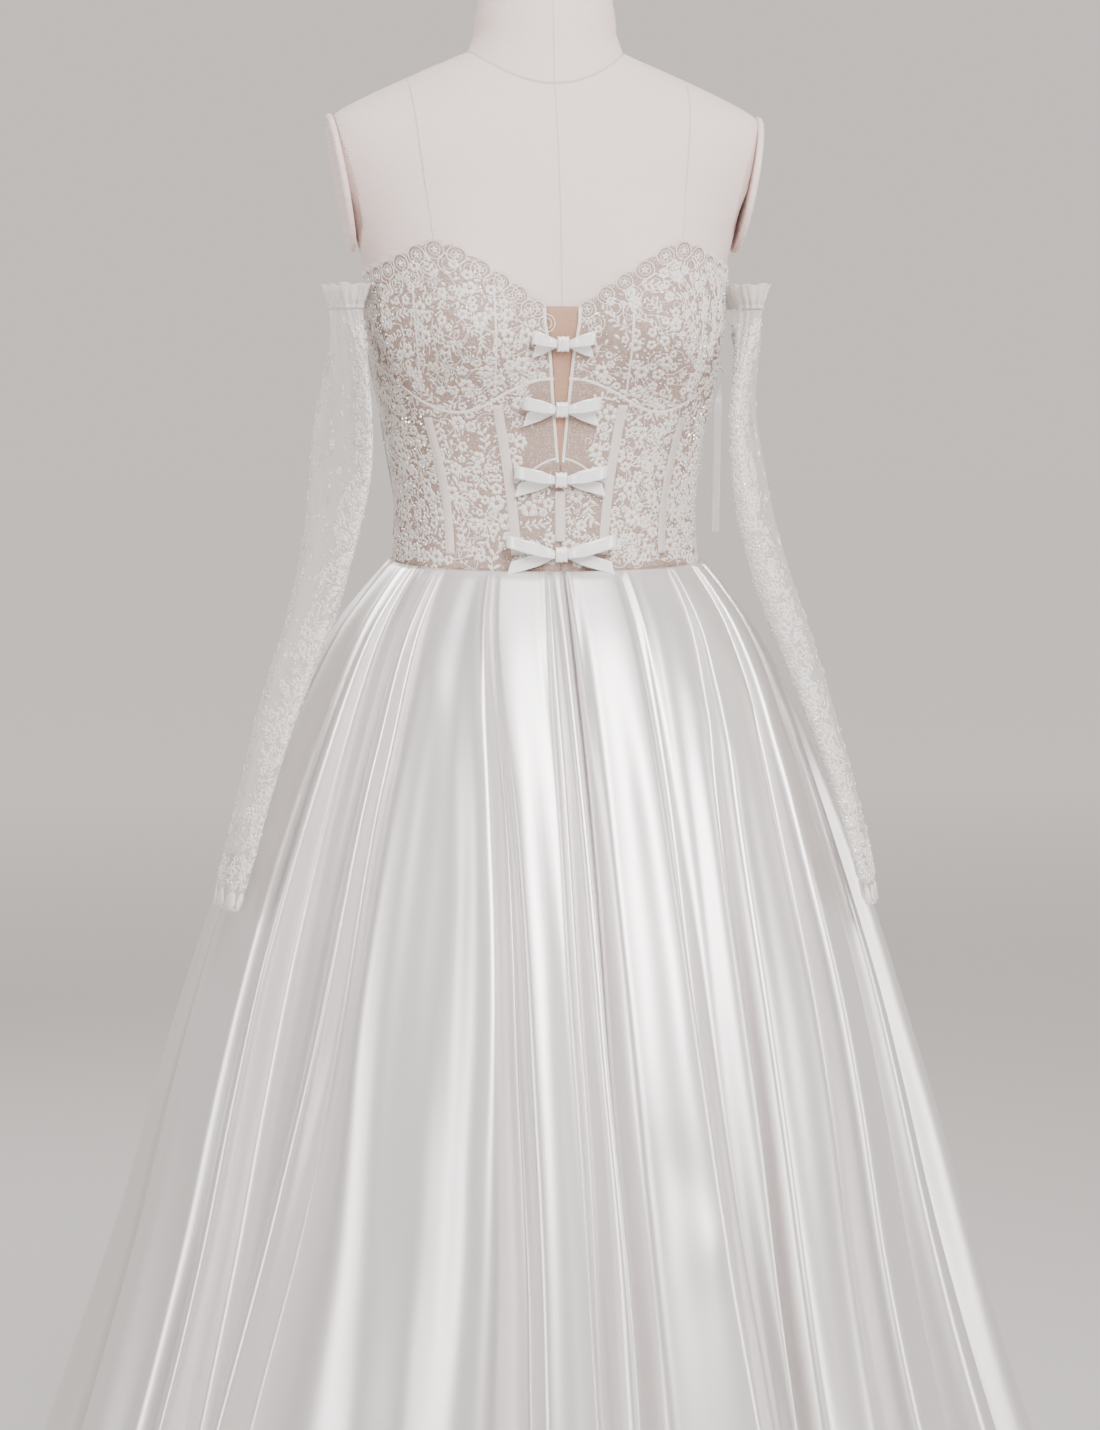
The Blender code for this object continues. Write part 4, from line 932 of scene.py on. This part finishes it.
def build_bows():
    """Ring of ribbon, a strip behind it with slanted ends, and a band round both."""
    knot_middle = KNOT_BACK + RIBBON_WALL + KNOT_HALF_DEEP
    tails_face = knot_middle - (3 * RIBBON_WALL + SEAM_GAP + LOOP_GAP) / 2 + RIBBON_WALL
    loops_inside = tails_face + SEAM_GAP + RIBBON_WALL
    levels = np.linspace(-1, 1, 9)
    for index, (z, width, rise, drop, hang) in enumerate(BOWS):
        name = f"bow_{index + 1}"
        reach = width / 2 - RIBBON_WALL

        def loop_point(x, layer, level):
            along = past_knot(x, reach)
            swell = 2 * math.sqrt(max(0.0, along * (1 - along))) if layer != 1 else 0.35
            opening = LOOP_GAP / 2 + LOOP_SWELL * swell
            lift = loops_inside + layer * opening + hang * along + LOOP_OFF_TAIL * min(1.0, along * 4)
            if layer == 2:
                lift += crease(level, x)
            return front_point(x, z + rise * along + level * pinch(x), lift)

        def tail_point(share, level):
            """The ends are cut on the slant."""
            slant = TAIL_SLANT * (1 + level) / 2 if abs(share) > 0.5 else 0.0
            x = share * (reach - slant)
            along = past_knot(x, reach)
            wave = 0.0006 * math.sin(along * 5 + index) * along
            return front_point(x, z - drop * along + level * pinch(x),
                               tails_face + hang * along + max(0.0, wave))

        def knot_point(turn, x):
            cos, sin = math.cos(turn), math.sin(turn)
            square = (cos ** 4 + sin ** 4) ** -0.25
            fold = 0.00035 * math.cos(x / KNOT_HALF_WIDTH * 7.0)
            deep = KNOT_HALF_DEEP * (1 - 0.10 * (x / KNOT_HALF_WIDTH) ** 2)
            return front_point(x, z + (KNOT_HALF_HIGH + fold) * sin * square,
                               knot_middle + max(-KNOT_HALF_DEEP, -(deep + fold) * cos * square))

        spots = list(KNOT_CLEAR + (reach - KNOT_CLEAR) * np.linspace(0, 0.97, 16))
        across = [-x for x in reversed(spots)] + spots
        ring = [(x, 2) for x in across] + [(reach, 1)] + [(x, 0) for x in reversed(across)] + [(-reach, 1)]
        rows = [[loop_point(x, layer, level) for x, layer in ring] for level in levels]
        loops = ribbon(f"{name}_loop_ribbon", rows, f"{name}_loops", closed=True, outward=True)
        rows = [[tail_point(share, level) for share in np.linspace(-1, 1, 33)] for level in levels]
        tails = ribbon(f"{name}_tail_ribbon", rows, f"{name}_tails")
        rows = [[knot_point(turn, x) for turn in full_turn(28)]
                for x in np.linspace(-KNOT_HALF_WIDTH, KNOT_HALF_WIDTH, 9)]
        knot = ribbon(f"{name}_knot_band", rows, f"{name}_knot", closed=True, outward=True)


def build_hanger_ribbons():
    """Two satin ribbons sewn in at the underarms. The right one hangs free and faces the front."""
    levels = np.linspace(HANGER_FOOT_Z, HANGER_TOP_Z, 70)
    reach = HANGER_HALF_WIDTH / 0.12
    for hand, degrees in (("right", HANGER_RIGHT_DEG), ("left", HANGER_LEFT_DEG)):
        angles = math.radians(degrees) + np.linspace(-reach, reach, 7)
        wave = 0.0005 + 0.0005 * np.sin(levels * 75 + degrees)
        rows = torso.place(angles[None], levels[:, None], SKIN + wave[:, None] + RIBBON_WALL)
        if hand == "right":
            furthest = rows[:, 0, 0].max() - KNOT_BACK
            heights = rows[..., 2]
            limit = furthest - (HANGER_FREE_Z - heights) * HANGER_LEAN
            rows[..., 0] = np.where(heights < HANGER_FREE_Z, np.maximum(rows[..., 0], limit), rows[..., 0])
            twist = HANGER_TWIST * fade(levels, HANGER_FREE_Z, HANGER_FREE_Z - 0.035)[:, None]
            middle_y = rows[:, 3:4, 1]
            off = rows[..., 1] - middle_y
            rows[..., 0] += (off - HANGER_HALF_WIDTH) * np.sin(twist)
            rows[..., 1] = middle_y + off * np.cos(twist)
        made = ribbon(f"hanger_ribbon_{hand}", rows, f"ribbon_{hand}")


# The sleeves


def sleeve_surface(side):
    """Flattened tube with soft upright folds. Angle 0 faces away from the body."""
    angles = np.linspace(-math.pi, math.pi, 361)
    heights = np.linspace(SLEEVE_FOOT, SLEEVE_TOP, 236)
    column = 1 if side < 0 else 2
    middle_x, middle_y, thick, wide, turn = (table_curve(SLEEVE_RINGS, heights, index)[:, None]
                                             for index in (column, column + 2, 5, 6, 7))
    turn = np.radians(turn)
    out_x, out_y = side * np.cos(turn), -np.sin(turn)
    in_x, in_y = -side * np.sin(turn), -np.cos(turn)
    ease = fade(heights, SLEEVE_FOOT, 0.84)[:, None] * 0.6 + 0.4
    swell = sum(height * np.cos(count * angles[None] + phase + heights[:, None] * 4.0)
                for count, phase, height in SLEEVE_FOLDS) * ease
    gather = 0.0013 * np.cos(BAND_GATHERS * angles)[None] * fade(heights, 1.185, SLEEVE_TOP)[:, None]
    swell = swell * (1 - fade(heights, 1.235, SLEEVE_TOP))[:, None] - SLEEVE_INSET + gather
    cos, sin = np.cos(angles)[None], np.sin(angles)[None]
    x = side * middle_x + out_x * (thick + swell) * cos - in_x * (wide + swell) * sin * side
    y = middle_y + out_y * (thick + swell) * cos - in_y * (wide + swell) * sin * side
    z = np.broadcast_to(heights[:, None], x.shape)
    return Surface(angles, heights, np.stack([x, y, z], axis=2))


def cuff_edge(angle):
    return SLEEVE_FOOT + CUFF_SCALLOP * (1 - np.abs(np.cos(CUFF_PETALS / 2 * angle)) ** 0.7)


def build_sleeves():
    angles = np.linspace(-math.pi, math.pi, 161)[:-1]
    foot = cuff_edge(angles)
    for side, hand in ((-1, "left"), (1, "right")):
        surface = sleeve_surface(side)
        rows = [surface.place(angles, foot + (TULLE_TOP - foot) * part, 0.0)
                for part in np.linspace(0, 1, 90)]
        tulle = cloth(f"sleeve_tulle_{hand}", rows, "tulle", "lace", [f"sleeve_{hand}"], closed=True)
        pieces = sleeve_lace(surface, side, hand, random.Random(31 + side))
        band = build_band(surface, side, hand)


def sleeve_lace(surface, side, hand, rng):
    """Dense flowers down the front and inner side, open net with single leaves on the outer side."""
    layers = [Motifs(surface, lift) for lift in (0.0001, 0.0003, 0.0003)]
    dense_middle = -side * math.radians(DENSE_MIDDLE)

    def inside(angle, z, radius):
        if not 0.807 + radius < z < 1.255 - radius:
            return False
        away = abs((angle - dense_middle + math.pi) % (2 * math.pi) - math.pi)
        if away < math.radians(DENSE_HALF) or z < DENSE_TO_Z:
            return True
        return radius < SMALL_MOTIF and rng.random() < SMALL_SHARE

    spots = scatter(rng, SLEEVE_MOTIFS, inside, (-math.pi, math.pi), (0.80, 1.26), 0.040)
    fill_with_lace(*layers, rng, spots)
    for index in range(CUFF_PETALS):
        angle = -math.pi + 2 * math.pi * (index + 0.5) / CUFF_PETALS + math.pi / CUFF_PETALS
        angle = (angle + math.pi) % (2 * math.pi) - math.pi
        metres = 2 * math.pi / CUFF_PETALS * surface.sizes(angle, 0.80)[0]
        petal = petal_shape(CUFF_PETAL, metres * 0.98, 0.55)
        layers[0].add(angle, CUFF_LACE_Z, turned(petal, math.pi, (0.0, CUFF_PETAL)))
        eyelashes(layers[0], angle, CUFF_LACE_Z, metres, -1)
    return lace_pieces("sleeve", hand, layers)


def build_band(surface, side, hand):
    """Gathered top on narrow elastic: a loose ruffle above one stitched row."""
    angles = np.linspace(-math.pi, math.pi, 321)[:-1]
    gathers = np.cos(BAND_GATHERS * angles + 0.9 * np.sin(3 * angles)) + 0.4 * np.cos(27 * angles + side)
    rows = []
    for part in np.linspace(0, 1, 16):
        elastic = 0.0010 * math.exp(-((part - 0.18) / 0.10) ** 2)
        flare = 0.0040 * part ** 1.5
        wave = (0.0004 + 0.0016 * part) * gathers
        base = surface.place(angles, SLEEVE_TOP, 0.0010 + flare + wave - elastic)
        base[:, 2] = BAND_FOOT + BAND_HEIGHT * part + 0.0014 * part * gathers
        rows.append(base)
    band = cloth(f"sleeve_gathers_{hand}", rows, "band", "lace", [f"sleeve_band_{hand}"], BAND_WALL,
                 closed=True)
    return band


# The skirt


def fold_angle(line, z):
    """Degrees of a fold line at a height, on a smooth curve."""
    waist, knee, calf = line[:REACH]
    thigh = knee + (waist - knee) * THIGH_SHARE
    rows = ((-0.3, calf), (CALF_Z, calf), (KNEE_Z, knee), (THIGH_Z, thigh), (WAIST_Z, waist))
    return smooth_table(rows, z, 1)


def fold_leans():
    """How far each crest rolls over the groove beside it, signed towards that groove."""
    leans = []
    for index, line in enumerate(FOLD_LINES):
        best = 0.0
        for other in FOLD_LINES[max(index - 1, 0):index] + FOLD_LINES[index + 1:index + 2]:
            gap = other[AT_KNEE] - line[AT_KNEE]
            depth = line[REACH] - other[REACH]
            if abs(gap) < LEAN_REACH and depth > LEAN_DEPTH:
                strength = math.copysign(depth / 40 * (1 - abs(gap) / LEAN_REACH * 0.5), gap)
                if abs(strength) > abs(best):
                    best = strength
        leans.append(best)
    return np.array(leans)


def skirt_columns(first, last):
    """Fold line before each column, and its share of the way to the next one."""
    indices = [index for index, line in enumerate(FOLD_LINES) if first <= line[AT_WAIST] <= last]
    columns = []
    for index in indices[:-1]:
        gap = FOLD_LINES[index + 1][AT_CALF] - FOLD_LINES[index][AT_CALF]
        steps = max(6, math.ceil(gap / COLUMN_DEGREES))
        columns += [(index, step / steps) for step in range(steps)]
    columns.append((indices[-1] - 1, 1.0))
    start, share = zip(*columns)
    return np.array(start), np.array(share)


def stray(index, z):
    """A slow, even wandering between about -0.6 and 0.6, the same at both ends of the table of folds."""
    return noise.noise((index % (len(FOLD_LINES) - 1) * 5.3, z * 4.2, 0.7))


def pleat_lap(lines, degrees, z):
    """The laid edge of each pleat just under the waist seam."""
    strength = math.exp(-((WAIST_Z - z) / PLEAT_LAP_LENGTH) ** 2) * PLEAT_LAP
    total = np.zeros_like(degrees)
    for line, row in zip(lines, FOLD_LINES):
        if row[REACH] < -9:
            offset = (degrees - line) / PLEAT_LAP_DEGREES
            outer = offset - math.copysign(1.5, row[AT_WAIST])
            total += (0.8 * np.exp(-outer ** 2) - np.exp(-offset ** 2)) * strength
    return total


def creases(degrees, z):
    """Soft troughs, ridges and dents between the folds, and a slight unevenness of the cloth."""
    total = np.zeros_like(degrees)
    for waist, knee, calf, half, height, top, foot in CREASES:
        line = fold_angle((waist, knee, calf), z)
        window = float(fade(z, foot, foot + CREASE_RISE) * (1 - fade(z, top - CREASE_FALL, top)))
        total += height / 1000 * window * np.exp(-((degrees - line) / half) ** 2)
    for middle, level, half, tall, slant, depth in DENTS:
        across, up = (degrees - middle) / half, (z - level) / tall
        total += depth / 1000 * np.exp(-(across ** 2 + (up - slant * across) ** 2))
    calm = float(fade(z, WAIST_Z, WAIST_Z - 0.15))
    angle = np.radians(degrees)
    for rate, climb, height in ((4.0, 2.6, UNEVEN), (8.0, 5.5, RIPPLE)):
        waves = [noise.noise((math.sin(turn) * rate, math.cos(turn) * rate, z * climb)) for turn in angle]
        total += np.array(waves) * height * calm
    return total


def build_skirt():
    """Six panels of heavy satin, seamed in the depths of pleats."""
    leans = fold_leans()
    reaches = np.array([line[REACH] for line in FOLD_LINES], float)
    heights = WAIST_Z - (WAIST_Z - HEM_Z) * np.linspace(0, 1, SKIRT_ROWS) ** 1.12
    for name, (first, last, width, area) in SKIRT_PANELS.items():
        start, share = skirt_columns(first, last)
        blend = (1 - np.cos(math.pi * share)) / 2
        falling = reaches[start] > reaches[start + 1]
        blend = np.where(falling, blend ** FOLD_BREADTH, 1 - (1 - blend) ** FOLD_BREADTH)
        rows = []
        for z in reversed(heights):
            calm = float(fade(z, WAIST_Z, WAIST_Z - 0.20))
            lines = np.array([fold_angle(line, z) + stray(index, z) * LINE_WANDER * calm
                              for index, line in enumerate(FOLD_LINES)])
            full = reaches * np.array([1 + stray(index + 0.5, z) * FOLD_VARIES * calm
                                       for index in range(len(FOLD_LINES))])
            degrees = lines[start] + (lines[start + 1] - lines[start]) * share
            reach = (full[start] + (full[start + 1] - full[start]) * blend) / 1000
            lean = leans[start] + (leans[start + 1] - leans[start]) * blend
            half_width, front, back, growth = (smooth_table(SKIRT_SECTIONS, z, column)
                                               for column in (HALF_WIDTH, FRONT, BACK, FOLD_GROWTH))
            out = reach * growth + pleat_lap(lines, degrees, z) + creases(degrees, z)
            slide = lean * FOLD_LEAN * growth
            angle = np.radians(degrees)
            depth = np.where(np.cos(angle) > 0, front, back)
            x, y = half_width * np.sin(angle), -depth * np.cos(angle)
            normal = np.stack([x / half_width ** 2, y / depth ** 2], axis=1)
            normal /= np.linalg.norm(normal, axis=1, keepdims=True)
            level = waist_seam(angle) - SEAM_GAP / 2 if z == WAIST_Z else np.full_like(x, z)
            rows.append(np.stack([x + normal[:, 0] * out - normal[:, 1] * slide,
                                  y + normal[:, 1] * out + normal[:, 0] * slide, level], axis=1))
        made = cloth(f"{name}_satin", rows, "satin", "duchess_satin", [name], SATIN_WALL)


# The form


def form_ring(half_width, front, back, angles):
    cos, sin = np.cos(angles), np.sin(angles)
    return half_width * sin, -np.where(cos > 0, front, back) * cos


def table_ring(table, z, angles, level):
    """A level ring whose size a table gives for z."""
    x, y = form_ring(*(smooth_table(table, z, column) for column in (HALF_WIDTH, FRONT, BACK)), angles)
    return np.stack([x, y, np.full_like(x, level)], axis=1)


def shoulder_rows(angles):
    """Rings of the shoulders, read smoothly between the model's rings, cut flat at the armholes."""
    rows = []
    keyed = [(float(index), *row) for index, row in enumerate(SHOULDER_RINGS)]
    for key in np.linspace(0, len(keyed) - 1, SHOULDER_STEPS):
        side_x, side_z, front_y, front_z, back_y, back_z = (smooth_table(keyed, key, column)
                                                            for column in range(1, 7))
        facing = np.sin(angles) ** 2
        middle_z = np.where(np.cos(angles) > 0, front_z, back_z)
        x, y = form_ring(side_x, front_y, back_y, angles)
        z = side_z * facing + middle_z * (1 - facing)
        limit = ARM_PLANE_X + (z - ARM_PLANE_Z) * ARM_PLANE_LEAN
        rows.append(np.stack([np.clip(x, -limit, limit), y, z], axis=1))
    return rows


def build_form():
    """Linen torso and neck, with its seams as fine raised lines, and better finish on the hard pieces."""
    angles = np.linspace(-math.pi, math.pi, 145)[:-1]
    rows = [table_ring(BODY_SECTIONS, z, angles, z) for z in np.linspace(*HIP_SPAN, HIP_STEPS)]
    rows += [torso.place(angles, z, 0.0) for z in np.linspace(*BUST_SPAN, BUST_STEPS)]
    rows += shoulder_rows(angles)
    last = (SHOULDER_RINGS[-1][3] + SHOULDER_RINGS[-1][5]) / 2
    neck = np.linspace(NECK_FOOT, NECK_RINGS[-1][0], NECK_STEPS)
    rows += [table_ring(NECK_RINGS, z, angles, max(z, last)) for z in neck]
    cloth("linen_torso", rows, "linen", "linen", ["form_torso"], closed=True)
    build_form_seams(np.array(rows), angles)
    for name, look in (("form_neck_cap", "paint"), ("form_arm_plate_left", "linen"),
                       ("form_arm_plate_right", "linen"), ("form_pole", "steel"), ("form_base", "steel")):
        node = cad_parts[name]
        node.data.materials.clear()
        node.data.materials.append(looks[look])


def build_form_seams(rows, angles):
    """Seams of the linen cover: centre front and back, princess, side and neck."""
    seams = Shapes()

    def seam(line, width=0.0016, lift=0.0007):
        line = np.array(line)
        along = np.gradient(line, axis=0)
        outward = line - (0.0, 0.004, 0.0)
        outward[:, 2] = 0.15
        side = np.cross(along, outward)
        side /= np.linalg.norm(side, axis=1, keepdims=True)
        normal = np.cross(side, along)
        normal /= np.linalg.norm(normal, axis=1, keepdims=True)
        if (normal * outward).sum() < 0:
            normal = -normal
        foot = line - normal * 0.0003
        points = np.stack([foot - side * width / 2, line + normal * lift, foot + side * width / 2], axis=1)
        seams.gather(points.reshape(-1, 3), strip_faces(len(line)))

    def at(degrees):
        return int(round((math.radians(degrees) + math.pi) / (angles[1] - angles[0]))) % len(angles)

    neck_row = HIP_STEPS + BUST_STEPS + SHOULDER_STEPS
    for degrees in (0, 180):
        seam(rows[CENTRE_SEAM_ROW:, at(degrees)])
    for degrees in (90, -90):
        seam(rows[SIDE_SEAM_ROW:neck_row, at(degrees)])
    for side, facing in ((-1, angles <= 0), (1, angles >= 0)):
        for half in (np.abs(angles) <= math.pi / 2, np.abs(angles) >= math.pi / 2):
            line = []
            for row in rows[PRINCESS_SEAM_ROW:neck_row, facing & half]:
                row = row[np.argsort(row[:, 0])]
                x = side * np.interp(row[0, 2], *PRINCESS_ON_FORM)
                if np.abs(row[:, 0]).max() > abs(x):
                    line.append([x, np.interp(x, row[:, 0], row[:, 1]), np.interp(x, row[:, 0], row[:, 2])])
            seam(line)
    seam(list(rows[neck_row - 1]) + [rows[neck_row - 1][0]], 0.0022, 0.0010)
    piece("linen_seams", seams.mesh("seams"), "seam")


# Light, floor and camera


def aim(made, place, target):
    made.location = place
    made.rotation_mode = "QUATERNION"
    made.rotation_quaternion = (Vector(target) - Vector(place)).to_track_quat("-Z", "Y")


def build_studio():
    square = [(x * FLOOR_REACH, y * FLOOR_REACH, 0) for x, y in ((-1, -1), (1, -1), (1, 1), (-1, 1))]
    floor = shown("floor", mesh_of("floor", square, [(0, 1, 2, 3)]))
    pale = material("glowing_floor", (0.73, 0.70, 0.68), 0.9)
    # The floor glows more towards the back, though it is no lamp: this glow is painted light.
    socket_of(pale, "Emission Color").default_value = BACKDROP
    glow_along_y(pale, place_of(pale), socket_of(pale, "Emission Strength"), *FLOOR_GLOW)
    floor.data.materials.append(pale)
    for name, place, target_z, size, power, colour in SOFTBOXES:
        data = bpy.data.lights.new(name, "AREA")
        data.shape = "RECTANGLE"
        data.size, data.size_y = size
        data.energy = power
        data.color = colour
        aim(shown(name, data), place, (0.0, 0.0, target_z))
    world = bpy.data.worlds.new("studio")
    bpy.context.scene.world = world
    world.use_nodes = True
    background = world.node_tree.nodes["Background"]
    background.inputs["Color"].default_value = BACKDROP
    sky = place_of(world, kind="Generated")
    glow_along_y(world, sky, background.inputs["Strength"], *SKY_GLOW)


def build_camera():
    azimuth, elevation = math.radians(CAMERA_AZIMUTH), math.radians(CAMERA_ELEVATION)
    back = Vector((math.sin(azimuth) * math.cos(elevation), -math.cos(azimuth) * math.cos(elevation),
                   math.sin(elevation)))
    data = bpy.data.cameras.new("camera")
    data.sensor_fit = "VERTICAL"
    data.sensor_height = 36.0
    data.lens = data.sensor_height * CAMERA_DISTANCE / PHOTO_SPAN
    camera = shown("camera", data)
    aim(camera, CAMERA_TARGET + back * CAMERA_DISTANCE, CAMERA_TARGET)
    bpy.context.scene.camera = camera


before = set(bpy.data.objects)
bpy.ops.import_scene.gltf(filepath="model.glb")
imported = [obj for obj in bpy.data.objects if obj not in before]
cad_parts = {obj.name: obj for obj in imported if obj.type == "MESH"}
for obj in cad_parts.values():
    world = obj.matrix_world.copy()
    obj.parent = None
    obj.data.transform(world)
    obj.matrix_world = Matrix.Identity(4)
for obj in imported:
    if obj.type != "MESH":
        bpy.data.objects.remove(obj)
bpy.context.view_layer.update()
looks = make_materials()
torso = body_surface()
build_studio()
build_camera()
build_form()
build_bodice()
build_insert()
build_channels()
build_buttons()
build_bows()
build_hanger_ribbons()
build_sleeves()
build_skirt()
